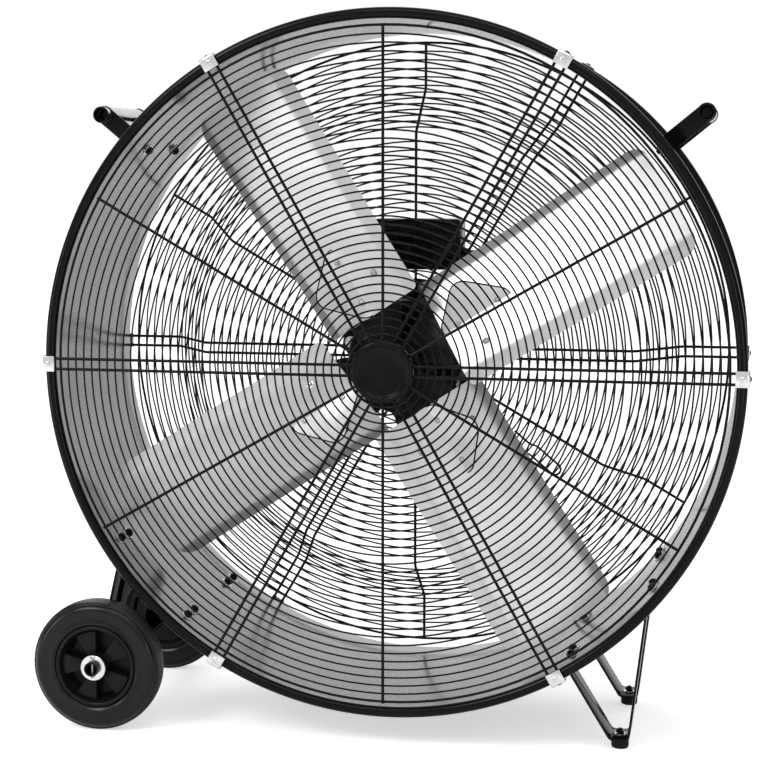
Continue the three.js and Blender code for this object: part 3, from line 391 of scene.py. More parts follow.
def lathed(name: str, outline: Outline, steps: int = 64, closed: bool = False) -> bpy.types.Object:
    """Spins an outline round the Y axis.

    Args:
        name: the new piece's name.
        outline: corners as radius and place along the axis.
        steps: facets round the axis.
        closed: joins the outline's last corner to its first.

    Returns:
        The new piece.
    """
    corners = [Vector((radius, along, 0.0)) for radius, along in outline]
    if closed:
        corners.append(corners[0].copy())
    piece = outlined(name, corners)
    with editing(piece):
        select_all()
        bpy.ops.mesh.spin(steps=steps, angle=FULL_TURN, center=(0, 0, 0), axis=(0, 1, 0),
                          use_auto_merge=True)
        tidied()
    return piece


def polar(radius: float, angle: float) -> tuple[float, float]:
    """The point at a radius and an angle in radians."""
    return radius * math.cos(angle), radius * math.sin(angle)


def arc(centre: tuple[float, float], radius: float, start: float, end: float,
        steps: int) -> list[tuple[float, float]]:
    """Points on an arc.

    Args:
        centre: the arc's middle.
        radius: its radius.
        start: its first angle in degrees.
        end: its last angle in degrees.
        steps: how many chords it has.

    Returns:
        The points, the first and the last one included.
    """
    angles = [math.radians(start + (end - start) * i / steps) for i in range(steps + 1)]
    return [(centre[0] + radius * math.cos(a), centre[1] + radius * math.sin(a)) for a in angles]


def rounded(corners: Sequence[Vector], radius: float, steps: int = 5,
            closed: bool = False) -> list[Vector]:
    """A line whose corners are turned into arcs.

    Args:
        corners: the sharp corners.
        radius: the arcs' radius, made smaller where a leg is too short for it.
        steps: chords in each arc.
        closed: treats the line as a ring.

    Returns:
        The rounded line.
    """
    count = len(corners)
    line = []
    for i, corner in enumerate(corners):
        if not closed and i in (0, count - 1):
            line.append(corner.copy())
            continue
        back = corners[i - 1] - corner
        ahead = corners[(i + 1) % count] - corner
        half = back.angle(ahead) / 2
        reach = min(radius / math.tan(half), back.length * 0.49, ahead.length * 0.49)
        tight = reach * math.tan(half)
        middle = (back.normalized() + ahead.normalized()).normalized() * (tight / math.sin(half))
        first = back.normalized() * reach - middle
        last = ahead.normalized() * reach - middle
        sweep = first.angle(last)
        turn = first.cross(last).normalized()
        line.extend(corner + middle + Matrix.Rotation(sweep * k / steps, 3, turn) @ first
                    for k in range(steps + 1))
    return line


def flat(points: Iterable[tuple[float, float]], along: float = 0.0) -> list[Vector]:
    """Points in a plane square to the fan axis, at that place along it."""
    return [Vector((x, along, z)) for x, z in points]


def plate(name: str, points: Sequence[Vector], thickness: float, soft: float) -> bpy.types.Object:
    """A flat sheet with rounded edges.

    Args:
        name: the new piece's name.
        points: its outline, square to the fan axis, at the sheet's middle.
        thickness: the sheet's thickness.
        soft: the rounding of its edges.

    Returns:
        The new piece.
    """
    piece = outlined(name, points, filled=True)
    with editing(piece, "FACE"):
        select_all()
        bpy.ops.mesh.extrude_region_move(TRANSFORM_OT_translate={"value": (0, thickness, 0)})
        select_all()
        bpy.ops.transform.translate(value=(0, -thickness / 2, 0))
        tidied()
    return softened(piece, soft)


def bent_bar(name: str, line: Sequence[Vector], width: Vector, thickness: float,
             soft: float = 0.5 * MM) -> bpy.types.Object:
    """A flat bar bent along a line.

    Args:
        name: the new piece's name.
        line: the bar's middle line, at one of its sides.
        width: the way from there to its other side.
        thickness: its sheet's thickness.
        soft: the rounding of its edges.

    Returns:
        The new piece.
    """
    piece = outlined(name, line)
    with editing(piece, "EDGE"):
        select_all()
        bpy.ops.mesh.extrude_edges_move(TRANSFORM_OT_translate={"value": width})
    refined(piece, "SOLIDIFY", thickness=thickness, offset=0.0, use_even_offset=True)
    return softened(piece, soft)


def wire(name: str, points: Sequence[Vector], radius: float, sides: int = 10,
         closed: bool = False) -> bpy.types.Object:
    """A round wire along a line.

    Args:
        name: the new piece's name.
        points: the wire's middle line.
        radius: the wire's radius.
        sides: its facets.
        closed: joins the wire's two ends.

    Returns:
        The new piece, as a mesh.
    """
    deselect_all()
    bpy.ops.curve.primitive_bezier_curve_add()
    piece = named(name)
    curve = piece.data
    curve.splines.clear()
    spline = curve.splines.new("POLY")
    spline.points.add(len(points) - 1)
    for point, place in zip(spline.points, points):
        point.co = (*place, 1.0)
    spline.use_cyclic_u = closed
    curve.dimensions = "3D"
    curve.bevel_depth = radius
    curve.bevel_resolution = max(1, sides // 2 - 1)
    curve.use_fill_caps = not closed
    bpy.ops.object.convert(target="MESH")
    return named(name)


def node_box(name: str) -> tuple[Vector, Vector]:
    """The lowest and the highest corner of one of the frame's nodes."""
    low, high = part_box(name)
    return Vector(low), Vector(high)


def dressed(piece: bpy.types.Object, finish: Finish, body: Body, nodes: Sequence[str] = (),
            crease: float = 38.0) -> bpy.types.Object:
    """Finishes a piece and reports it.

    Args:
        piece: the modelled piece, already in the frame.
        finish: its finish.
        body: the frame's body that it rides on.
        nodes: the frame's nodes that it stands for.
        crease: edges sharper than this many degrees stay sharp.

    Returns:
        The same piece.
    """
    take(piece)
    bpy.ops.object.shade_smooth_by_angle(angle=math.radians(crease))
    if not piece.data.materials:
        piece.data.materials.append(Paint.of(finish))
    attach(piece, body.value)
    if nodes:
        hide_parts(*nodes)
    LOG.info("%s: %d faces on %s", piece.name, len(piece.data.polygons), body.value)
    return piece


# ------------------------------------------------------------------ where things are
@dataclass(frozen=True)
class FanPlace:
    """Where the fan stands in the frame, and the drum's main sizes."""

    origin: Vector
    rim_radius: float
    depth: float
    bead_radius: float = 9 * MM

    @property
    def lining(self) -> float:
        """The radius of the drum's inside."""
        return self.rim_radius - 2 * self.bead_radius

    @classmethod
    def measured(cls) -> "FanPlace":
        """Reads the place from the frame's drum."""
        low, high = node_box("drum_shell")
        middle = (low + high) / 2
        return cls(Vector((middle.x, low.y, middle.z)), (high.x - low.x) / 2, high.y - low.y)

    def turned(self, degrees: float = 0.0, along: float = 0.0, across: float = 0.0) -> Matrix:
        """The matrix of a place round the fan axis.

        Args:
            degrees: the angle from +X towards +Z.
            along: the place along the axis, behind the drum's front.
            across: the distance from the axis.

        Returns:
            A matrix whose X axis points away from the fan axis.
        """
        turn = Matrix.Rotation(-math.radians(degrees), 4, "Y")
        return Matrix.Translation(self.origin) @ turn @ Matrix.Translation((across, along, 0))

    def faced(self, end: End, degrees: float = 0.0) -> Matrix:
        """As turned, at one end of the drum, with -Y pointing out of the drum there."""
        if end is End.FRONT:
            return self.turned(degrees)
        return self.turned(degrees, self.depth) @ Matrix.Diagonal((1, -1, 1, 1))


# ------------------------------------------------------------------ fasteners
@dataclass
class Fasteners:
    """Patterns of the small hardware. Each one points its head along -Y, with its seat at 0."""

    screw_radius: float = 4.6 * MM
    screw_height: float = 3.0 * MM
    bolt_radius: float = 7.0 * MM
    bolt_height: float = 4.6 * MM
    washer_radius: float = 10.4 * MM
    rivet_radius: float = 5.0 * MM
    made: dict[str, bpy.types.Object] = field(default_factory=dict)

    def pan_screw(self) -> bpy.types.Object:
        """A pan head with a cross recess."""
        radius, height = self.screw_radius, self.screw_height
        dome = arc((radius - height * 0.55, -height * 0.45), height * 0.55, 0, -90, 5)
        head = lathed("screw_pattern", [(0, 0), (radius, 0), *dome, (0, -height)], 28)
        for turn in (0, 90):
            bpy.ops.mesh.primitive_cube_add(size=1)
            slot = named("slot")
            size = Matrix.Diagonal((radius * 1.1, height, radius * 0.28, 1))
            spin = Matrix.Rotation(math.radians(turn + 20), 4, "Y")
            moved(slot, Matrix.Translation((0, -height, 0)) @ spin @ size)
            refined(head, "BOOLEAN", operation="DIFFERENCE", object=slot, solver="EXACT")
            scrap(slot)
        return head

    def hex_bolt(self) -> bpy.types.Object:
        """A hexagon head on a plain washer."""
        bpy.ops.mesh.primitive_cylinder_add(vertices=6, radius=self.bolt_radius,
                                            depth=self.bolt_height, rotation=(math.pi / 2, 0, 0))
        head = named("head")
        moved(head, Matrix.Translation((0, -self.bolt_height / 2 - MM, 0)))
        softened(head, 0.6 * MM)
        washer = lathed("washer", [(0, 0), (self.washer_radius, 0), (self.washer_radius, -MM),
                                   (0, -MM)], 28)
        return joined("bolt_pattern", [head, washer])

    def star_washer(self) -> bpy.types.Object:
        """A toothed lock washer under a nut."""
        teeth = 14
        ring = []
        for i in range(teeth):
            for step, reach in ((0.0, 0.82), (0.25, 1.12), (0.6, 1.12)):
                ring.append(polar(self.washer_radius * reach, FULL_TURN * (i + step) / teeth))
        return plate("star_pattern", flat(ring, -0.8 * MM), 1.5 * MM, 0.15 * MM)

    def nut(self) -> bpy.types.Object:
        """A nut with the bolt's end standing out of it."""
        bpy.ops.mesh.primitive_cylinder_add(vertices=6, radius=self.bolt_radius * 1.1,
                                            depth=5 * MM, rotation=(math.pi / 2, 0, 0.3))
        nut = named("nut")
        moved(nut, Matrix.Translation((0, -4.1 * MM, 0)))
        softened(nut, 0.6 * MM)
        stud = lathed("stud", [(0, -10 * MM), (3 * MM, -10 * MM), (4 * MM, -9 * MM),
                               (4 * MM, -5 * MM)], 16)
        return joined("nut_pattern", [nut, stud])

    def dome(self) -> bpy.types.Object:
        """A rivet's low domed head in a thin collar."""
        radius = self.rivet_radius
        collar, lift = radius * 1.3, radius * 0.16
        rise = [(x * radius, -z * radius * 0.6) for x, z in arc((0, 0), 1.0, 0, 90, 6)]
        rim = [(collar, 0), (collar, -lift), (radius * 1.14, -lift), (radius * 1.08, 0)]
        return lathed("dome_pattern", [*rim, *rise], 24)

    def pattern(self, kind: str) -> bpy.types.Object:
        """The pattern of one kind, made once: pan_screw, hex_bolt, star_washer, nut or dome."""
        if kind not in self.made:
            self.made[kind] = getattr(self, kind)()
        return self.made[kind]

    def row(self, name: str, kind: str, places: Iterable[Matrix], finish: Finish,
            body: Body = Body.BASE) -> bpy.types.Object:
        """Sets copies of one fastener and joins them into one piece.

        Args:
            name: the new piece's name.
            kind: the fastener's kind.
            places: a matrix for each copy.
            finish: their finish.
            body: the body they ride on.

        Returns:
            The new piece.
        """
        source = self.pattern(kind)
        copies = [copied(source, f"{name}_{i}", place) for i, place in enumerate(places)]
        return dressed(joined(name, copies), finish, body)

    def put_away(self) -> None:
        """Removes the patterns."""
        for piece in self.made.values():
            scrap(piece)


# ------------------------------------------------------------------ drum
@dataclass
class Drum:
    """The rolled drum: black outside and at its beads, bare zinc sheet inside."""

    place: FanPlace
    wall: float = 2 * MM
    facets: int = 240
    lining_margin: float = 14 * MM

    def build(self) -> None:
        """Spins the wall with its two rolled beads and paints it on both sides."""
        bead = self.place.bead_radius
        centre = self.place.rim_radius - bead
        meets = math.degrees(math.acos((self.place.lining + self.wall - centre) / bead))
        front = arc((centre, bead), bead, 180, 360 + meets, 26)
        rear = [(radius, self.place.depth - along) for radius, along in reversed(front)]
        shell = lathed("drum", [*front, *rear], self.facets, closed=True)
        shell.data.materials.append(Paint.of(Paint.ENAMEL))
        shell.data.materials.append(Paint.of(Paint.DRUM))
        for face in shell.data.polygons:
            radius = math.hypot(face.center.x, face.center.z)
            inside = radius < self.place.lining + self.wall / 2
            depth = self.place.depth - self.lining_margin
            face.material_index = int(inside and self.lining_margin < face.center.y < depth)
        moved(shell, self.place.turned())
        dressed(shell, Paint.ENAMEL, Body.BASE, ["drum_shell"])


# ------------------------------------------------------------------ guards
@dataclass
class WireGuard:
    """A guard of round rings on paired and single spokes.

    run is the line of the spokes' middles from the rim inwards, as radius and height inside the
    drum's end, and radii are the rings'.
    """

    place: FanPlace
    end: End
    run: Outline
    radii: Sequence[float]
    spoke_radius: float = 2.5 * MM
    ring_radius: float = 1.5 * MM
    pair_spacing: float = 17.5 * MM
    pairs: int = 6
    bend: float = 14 * MM
    ring_facets: int = 120
    carrier_factor: float = 1.5

    def ring_middle(self, radius: float) -> tuple[float, float]:
        """Where a ring of a given radius lies on the spokes, as radius and height."""
        legs = list(zip(self.run, self.run[1:]))
        (r0, y0), (r1, y1) = next((leg for leg in legs if radius >= leg[1][0]), legs[-1])
        share = (radius - r0) / (r1 - r0)
        along = Vector((r0 - r1, y0 - y1)).normalized()
        reach = self.spoke_radius + self.ring_radius
        return radius - along.y * reach, y0 + (y1 - y0) * share + along.x * reach

    def ring(self, index: int, radius: float) -> bpy.types.Object:
        """One ring, thicker if it is the first or the last."""
        middle, height = self.ring_middle(radius)
        carrier = index in (0, len(self.radii) - 1)
        thick = self.ring_radius * (self.carrier_factor if carrier else 1.0)
        bpy.ops.mesh.primitive_torus_add(
            location=(0, height + thick - self.ring_radius, 0), rotation=(math.pi / 2, 0, 0),
            major_segments=self.ring_facets, minor_segments=8, major_radius=middle,
            minor_radius=thick)
        return moved(named(f"ring_{index}"), Matrix.Identity(4))

    def spoke(self, degrees: float, offset: float, inner: float = 0.0) -> bpy.types.Object:
        """One spoke.

        Args:
            degrees: its angle.
            offset: its distance to the side of that radius.
            inner: the radius where it starts at the rim side, or 0 for the rim.

        Returns:
            The new piece.
        """
        corners = [Vector((radius, along, offset)) for radius, along in self.run]
        if inner:
            corners[0].x = inner
        spoke = wire("spoke", rounded(corners, self.bend), self.spoke_radius)
        return moved(spoke, Matrix.Rotation(-math.radians(degrees), 4, "Y"))

    def build(self) -> None:
        """Makes the rings and the spokes as one welded piece."""
        parts = [self.ring(i, radius) for i, radius in enumerate(self.radii)]
        half = self.pair_spacing / 2
        last = max(self.radii) + self.ring_radius
        for i in range(self.pairs):
            angle = 360 * i / self.pairs
            parts.extend(self.spoke(angle, offset) for offset in (-half, half))
            parts.append(self.spoke(angle + 180 / self.pairs, 0.0, last))
        guard = joined(f"{self.end.word}_guard_wires", parts)
        moved(guard, self.place.faced(self.end))
        dressed(guard, Paint.WIRE, Body.BASE, [f"{self.end.word}_guard"], crease=60)


def ring_radii(first: float, last: float, pitch: float) -> list[float]:
    """Radii from first to at most last, a pitch apart."""
    return [first + pitch * i for i in range(int((last - first) / pitch + 1e-6) + 1)]


@dataclass
class Guards:
    """The flat front guard, the dished rear guard, the rim clips and the badge."""

    place: FanPlace
    fasteners: Fasteners
    spoke_offset: float = 2.8 * MM
    rim_overlap: float = 4.5 * MM
    outer_ring: float = 558 * MM
    front_first: float = 59 * MM
    front_pitch: float = 13.8 * MM
    front_spoke_end: float = 40 * MM
    rear_first: float = 100 * MM
    rear_pitch: float = 15.2 * MM
    cone_pitch: float = 10.6 * MM
    cone_clearance: float = 6 * MM
    dish_outer: float = 469 * MM
    dish_inner: float = 390 * MM
    dish_depth: float = 100 * MM
    clip_width: float = 26 * MM
    clip_reach: float = 22 * MM
    clip_sheet: float = 2 * MM
    clip_skirt: float = 11 * MM
    clip_face: float = -7.6 * MM
    skirt_rivet: tuple[float, float] = (2.6 * MM, 3 * MM)
    badge_radius: float = 52 * MM
    badge_back: float = -5.6 * MM
    badge_height: float = 10 * MM
    badge_lip: float = 11 * MM
    badge_recess: float = 4 * MM

    def build(self) -> None:
        """Makes both guards, the clips and the badge."""
        spoke_end = self.place.rim_radius - self.rim_overlap
        flat_run = [(spoke_end, -self.spoke_offset), (self.front_spoke_end, -self.spoke_offset)]
        radii = ring_radii(self.front_first, self.outer_ring, self.front_pitch)
        WireGuard(self.place, End.FRONT, flat_run, radii).build()

        deep = self.dish_depth - self.spoke_offset
        dished_run = [
            (spoke_end, -self.spoke_offset), (self.dish_outer, -self.spoke_offset),
            (self.dish_inner, deep), (self.rear_first - 5 * MM, deep),
        ]
        clear = self.cone_clearance
        dished = [
            *ring_radii(self.rear_first, self.dish_inner - clear, self.rear_pitch),
            *ring_radii(self.dish_inner + clear, self.dish_outer - clear, self.cone_pitch),
            *ring_radii(self.dish_outer + clear, self.outer_ring, self.rear_pitch),
        ]
        WireGuard(self.place, End.REAR, dished_run, dished).build()
        self.clips()
        self.badge()

    def clip(self) -> bpy.types.Object:
        """One folded clip over the rolled edge, at +X."""
        outside = self.place.rim_radius + self.clip_sheet
        face = self.clip_face + self.clip_sheet / 2
        back = -self.clip_width / 2
        corners = [
            Vector((outside - self.clip_reach, face, back)), Vector((outside, face, back)),
            Vector((outside, self.clip_skirt, back)),
        ]
        return bent_bar("clip_pattern", rounded(corners, 3 * MM), Vector((0, 0, self.clip_width)),
                        self.clip_sheet)

    def clips(self) -> None:
        """Sets six clips, their screws and the domed rivets of their skirts at each end."""
        pattern = self.clip()
        seat = self.place.rim_radius - self.place.bead_radius
        proud, depth = self.skirt_rivet
        lay = Matrix.Translation((self.place.rim_radius + proud, depth, 0))
        side = lay @ Matrix.Rotation(math.pi / 2, 4, "Z")
        for end in End:
            turns = [self.place.faced(end, 60 * i) for i in range(6)]
            for i, turn in enumerate(turns):
                clip = copied(pattern, f"{end.word}_rim_clip_{i + 1}", turn)
                dressed(clip, Paint.ZINC, Body.BASE, [f"{end.word}_clip_{i + 1}"])
            spot = Matrix.Translation((seat, self.clip_face, 0))
            self.fasteners.row(f"{end.word}_clip_screws", "pan_screw",
                               [turn @ spot for turn in turns], Paint.ZINC)
            self.fasteners.row(f"{end.word}_clip_rivets", "dome",
                               [turn @ side for turn in turns], Paint.ENAMEL)
        scrap(pattern)

    def badge(self) -> None:
        """The blank round badge: a dished face in a rounded lip."""
        back, radius = self.badge_back, self.badge_radius
        face = back - self.badge_height
        lip = self.badge_lip / 2
        floor = face + self.badge_recess
        outer = arc((radius - lip, face + lip), lip, 0, -90, 8)
        inner = arc((radius - lip, face + lip), lip, -90, -150, 5)
        well = radius - self.badge_lip - MM
        outline = [(0, back), (radius, back), *outer, *inner[1:], (well, floor),
                   (well * 0.6, floor + 0.5 * MM), (0, floor + 0.8 * MM)]
        badge = moved(lathed("badge", outline, 96), self.place.turned())
        dressed(badge, Paint.ENAMEL, Body.BASE, ["front_badge"])


# ------------------------------------------------------------------ motor
@dataclass
class Motor:
    """The motor's shell, its end bells and the plate that the rear guard carries."""

    place: FanPlace
    fasteners: Fasteners
    radius: float = 100 * MM
    front: float = 192.4 * MM
    rear: float = 292.4 * MM
    bell_depth: float = 12 * MM
    bell_wall: float = 5 * MM
    chamfer: float = 9 * MM
    bearing_seat: float = 20.3 * MM
    land: float = 29.3 * MM
    vents: int = 8
    vent_width: float = 15 * MM
    vent_inner: float = 42 * MM
    vent_outer: float = 76 * MM
    groove: float = 1.2 * MM
    plate_corner: float = 132 * MM
    plate_cut: float = 20 * MM
    plate_turn: float = -8.0
    plate_sheet: float = 4 * MM
    bolt_inset: float = 14 * MM

    def bell(self, end: End) -> None:
        """One end bell: a cast cup with a rounded edge, and vents in the front one."""
        def at(depth: float) -> float:
            """A depth inside the motor's end as a place along the axis."""
            return self.front + depth if end is End.FRONT else self.rear - depth

        bend = arc((self.radius - self.chamfer, self.chamfer), self.chamfer, -90, 0, 6)
        ridge = 0.55 * (self.land + self.radius)
        outline = [
            (self.bearing_seat, at(0)), (self.land, at(0)), (self.land + 2 * MM, at(1.4 * MM)),
            (ridge, at(1.4 * MM)), (ridge + 2 * MM, at(0)),
            *[(r, at(depth)) for r, depth in bend], (self.radius, at(self.bell_depth)),
            (self.radius - self.bell_wall, at(self.bell_depth)),
            (self.radius - self.chamfer - self.bell_wall, at(self.bell_wall)),
            (self.land, at(self.bell_wall)), (self.land, at(self.bell_depth)),
            (self.bearing_seat, at(self.bell_depth)),
        ]
        bell = lathed(f"motor_{end.word}_cup", outline, 96, closed=True)
        if end is End.FRONT:
            self.cut_vents(bell)
        moved(bell, self.place.turned())
        dressed(bell, Paint.MOTOR, Body.BASE, [f"motor_{end.word}_bell"])

    def cut_vents(self, bell: bpy.types.Object) -> None:
        """Cuts the ring of rounded slots through the front bell."""
        middle = (self.vent_inner + self.vent_outer) / 2
        reach = (self.vent_outer - self.vent_inner) / 2
        corners = [(middle + i * reach, k * self.vent_width / 2) for i, k in CORNERS]
        ring = rounded(flat(corners, self.front + self.bell_wall / 2), 6 * MM, closed=True)
        cutter = plate("vent_cutter", ring, 4 * self.bell_wall, 0.01 * MM)
        for i in range(self.vents):
            turn = Matrix.Rotation(-FULL_TURN * (i + 0.5) / self.vents, 4, "Y")
            tool = copied(cutter, "vent_tool", turn)
            refined(bell, "BOOLEAN", operation="DIFFERENCE", object=tool, solver="EXACT")
            scrap(tool)
        scrap(cutter)

    def shell(self) -> None:
        """The rolled shell between the bells, with two pressed grooves."""
        low, high = self.front + self.bell_depth + GAP, self.rear - self.bell_depth - GAP
        inner = self.radius - 4 * MM
        outline = [(inner, low), (self.radius, low)]
        for share in (0.2, 0.8):
            groove = low + (high - low) * share
            outline += [(self.radius, groove - 3 * MM), (self.radius - self.groove, groove),
                        (self.radius, groove + 3 * MM)]
        outline += [(self.radius, high), (inner, high)]
        shell = moved(lathed("motor_shell", outline, 96, closed=True), self.place.turned())
        dressed(shell, Paint.MOTOR, Body.BASE, ["motor_housing"], crease=20)

    def plate(self) -> None:
        """The square plate with cut corners, and its bolts."""
        tips = []
        for i in range(4):
            for side in (-1, 1):
                tip = Vector((self.plate_corner, side * self.plate_cut / 2))
                angle = math.radians(90 * i + self.plate_turn)
                tips.append((tip.x * math.cos(angle) - tip.y * math.sin(angle),
                             tip.x * math.sin(angle) + tip.y * math.cos(angle)))
        middle = self.rear + GAP + self.plate_sheet / 2
        ring = rounded(flat(tips, middle), 4 * MM, closed=True)
        sheet = moved(plate("motor_mount", ring, self.plate_sheet, 0.6 * MM), self.place.turned())
        dressed(sheet, Paint.ENAMEL, Body.BASE, ["motor_plate"])
        seat = middle - self.plate_sheet / 2
        inset = self.plate_corner - self.bolt_inset
        spots = [self.place.turned(90 * i + self.plate_turn, seat, inset) for i in range(4)]
        self.fasteners.row("mount_bolts", "hex_bolt", spots, Paint.ZINC)
        through = [self.place.turned(90 * i + 45, self.front, self.radius - self.bolt_inset)
                   for i in range(4)]
        self.fasteners.row("motor_screws", "pan_screw", through, Paint.ZINC)

    def build(self) -> None:
        """Makes the motor's outside."""
        self.bell(End.FRONT)
        self.bell(End.REAR)
        self.shell()
        self.plate()


# ------------------------------------------------------------------ rotor
@dataclass
class Rotor:
    """The hub with its arms, the four folded blades, their pads and rivets."""

    place: FanPlace
    fasteners: Fasteners
    count: int = 4
    start: float = 32.5
    plane: float = 150 * MM
    root: float = 90 * MM
    tip: float = 535 * MM
    width: float = 212 * MM
    sheet: float = 2.5 * MM
    tip_corner: float = 30 * MM
    root_corner: float = 10 * MM
    fold_width: float = 22 * MM
    fold_angle: float = 24.0
    fold_blend: float = 5 * MM
    pitch_root: float = 24.0
    pitch_tip: float = 20.0
    arm_end: float = 212 * MM
    arm_width: float = 124 * MM
    arm_sheet: float = 5 * MM
    hub_radius: float = 32 * MM
    hub_front: float = 138 * MM
    hub_length: float = 34 * MM
    shaft_radius: float = 9.5 * MM
    pad_middle: float = 157 * MM
    pad_half: float = 53 * MM
    pad_sheet: float = 2.6 * MM
    # Radius of the black wire ring of painted shade that stands for the shadow along each pad's
    # edge.
    pad_edge: float = 1.5 * MM
    rivets: Outline = ((119 * MM, 0.0), (199 * MM, 0.0), (150 * MM, -54 * MM), (150 * MM, 54 * MM))

    def pitch(self, radius: float) -> float:
        """The blade's pitch at a radius, in radians."""
        share = max(0.0, (radius - self.arm_end) / (self.tip - self.arm_end))
        return math.radians(self.pitch_root + (self.pitch_tip - self.pitch_root) * share)

    def on_blade(self, radius: float, across: float, rise: float) -> Vector:
        """A point of the blade.

        Args:
            radius: the distance from the fan axis.
            across: the place along the chord.
            rise: the distance behind the blade's flat.

        Returns:
            The point, for the blade at +X.
        """
        return self.tilted(radius, across, rise, self.pitch(radius))

    def tilted(self, radius: float, across: float, rise: float, pitch: float) -> Vector:
        """As on_blade, for a sheet of another pitch."""
        return Vector((radius,
                       self.plane + across * math.sin(pitch) + rise * math.cos(pitch),
                       across * math.cos(pitch) - rise * math.sin(pitch)))

    def half_width(self, radius: float) -> float:
        """Half the blade's chord at a radius, less the rounding of its corners."""
        half = self.width / 2
        for corner, inside in ((self.tip_corner, self.tip - radius),
                               (self.root_corner, radius - self.root)):
            into = max(0.0, 1.0 - inside / corner)
            half -= corner * (1.0 - math.sqrt(max(0.0, 1.0 - into * into)))
        return half

    def fold(self, across: float) -> float:
        """How far the folded edge stands behind the flat, at a place along the chord."""
        beyond = abs(across) - (self.width / 2 - self.fold_width)
        slope = math.tan(math.radians(self.fold_angle))
        soft = self.fold_blend
        if beyond <= -soft:
            return 0.0
        if beyond < soft:
            return slope * (beyond + soft) ** 2 / (4 * soft)
        return slope * beyond

    def blade(self) -> bpy.types.Object:
        """One blade at +X, shaped from a grid."""
        rows, columns = 72, 48
        bpy.ops.mesh.primitive_grid_add(x_subdivisions=rows, y_subdivisions=columns, size=2)
        blade = named("blade_pattern")
        for vertex in blade.data.vertices:
            share = (1 - math.cos(math.pi * (vertex.co.x + 1) / 2)) / 2
            radius = self.root + (self.tip - self.root) * share
            half = self.half_width(radius)
            lean = math.sin(vertex.co.y * math.pi / 2)
            across = half * (0.35 * vertex.co.y + 0.65 * lean)
            vertex.co = self.on_blade(radius, across, self.fold(across))
        with editing(blade):
            tidied()
        refined(blade, "SOLIDIFY", thickness=self.sheet, offset=0.0, use_even_offset=True)
        return softened(blade, 0.6 * MM)

    def pad_ring(self) -> list[Vector]:
        """The pad's outline: a diamond with rounded corners."""
        reach = self.pad_half * math.sqrt(2)
        corners = [(reach, 0), (0, reach), (-reach, 0), (0, -reach)]
        return rounded(flat(corners), 22 * MM, 8, closed=True)

    def front_of(self, radius: float, across: float, proud: float) -> Matrix:
        """A place on the blade's front face, standing proud of it, for the blade at +X."""
        spot = self.on_blade(radius, across, -self.sheet / 2 - proud)
        return Matrix.Translation(spot) @ Matrix.Rotation(self.pitch(radius), 4, "X")

    def arm(self) -> bpy.types.Object:
        """One arm of the hub, behind the blade at +X."""
        rise = self.sheet / 2 + GAP + self.arm_sheet / 2
        bpy.ops.mesh.primitive_grid_add(x_subdivisions=24, y_subdivisions=8, size=2)
        arm = named("arm_pattern")
        start = self.hub_radius * 0.75
        for vertex in arm.data.vertices:
            radius = start + (self.arm_end - start) * (vertex.co.x + 1) / 2
            share = min(1.0, (radius - start) / (self.root - start))
            share = share * share * (3 - 2 * share)
            half = self.hub_radius * 0.65 * (1 - share) + self.arm_width / 2 * share
            vertex.co = self.tilted(radius, vertex.co.y * half, rise, self.pitch(radius) * share)
        with editing(arm):
            tidied()
        refined(arm, "SOLIDIFY", thickness=self.arm_sheet, offset=0.0, use_even_offset=True)
        return softened(arm, 0.8 * MM)

    def hub(self) -> bpy.types.Object:
        """The turned hub with its bore and a chamfered nose."""
        rear = self.hub_front + self.hub_length
        outline = [
            (self.shaft_radius, self.hub_front), (self.hub_radius - 3 * MM, self.hub_front),
            (self.hub_radius, self.hub_front + 3 * MM), (self.hub_radius, rear - 3 * MM),
            (self.hub_radius - 3 * MM, rear), (self.shaft_radius, rear),
        ]
        return lathed("hub", outline, 64, closed=True)

    def build(self) -> None:
        """Makes the hub, and the blades with their pads, rivets and black rings of painted shade
        round the pads.
        """
        blade, arm = self.blade(), self.arm()
        pad = plate("pad_pattern", self.pad_ring(), self.pad_sheet, 0.8 * MM)
        # A black wire ring round the pad: painted shade, standing for the shadow along the pad's
        # edge.
        edge = wire("shade_line_pattern", self.pad_ring(), self.pad_edge, 8, closed=True)
        angles = [self.start + 360 * i / self.count for i in range(self.count)]
        arms = [copied(arm, f"arm_{i}", Matrix.Rotation(-math.radians(angle), 4, "Y"))
                for i, angle in enumerate(angles)]
        spider = moved(joined("spider", [self.hub(), *arms]), self.place.turned())
        dressed(spider, Paint.MOTOR, Body.ROTOR, ["blade_spider"])
        seat = self.front_of(self.pad_middle, 0.0, self.pad_sheet / 2)
        for i, angle in enumerate(angles, start=1):
            turn = self.place.turned(angle)
            piece = copied(blade, f"fan_blade_{i}", turn)
            dressed(piece, Paint.SHEET, Body.ROTOR, [f"blade_{i}"])
            dressed(copied(pad, f"blade_pad_{i}", turn @ seat), Paint.SHEET, Body.ROTOR)
            # Sets the black ring of painted shade round this pad.
            dressed(copied(edge, f"pad_edge_{i}", turn @ seat), Paint.MOTOR, Body.ROTOR)
            spots = [turn @ self.front_of(r, z, self.pad_sheet) for r, z in self.rivets]
            self.fasteners.row(f"blade_rivets_{i}", "dome", spots, Paint.STEEL, Body.ROTOR)
        for pattern in (blade, pad, edge, arm):
            scrap(pattern)


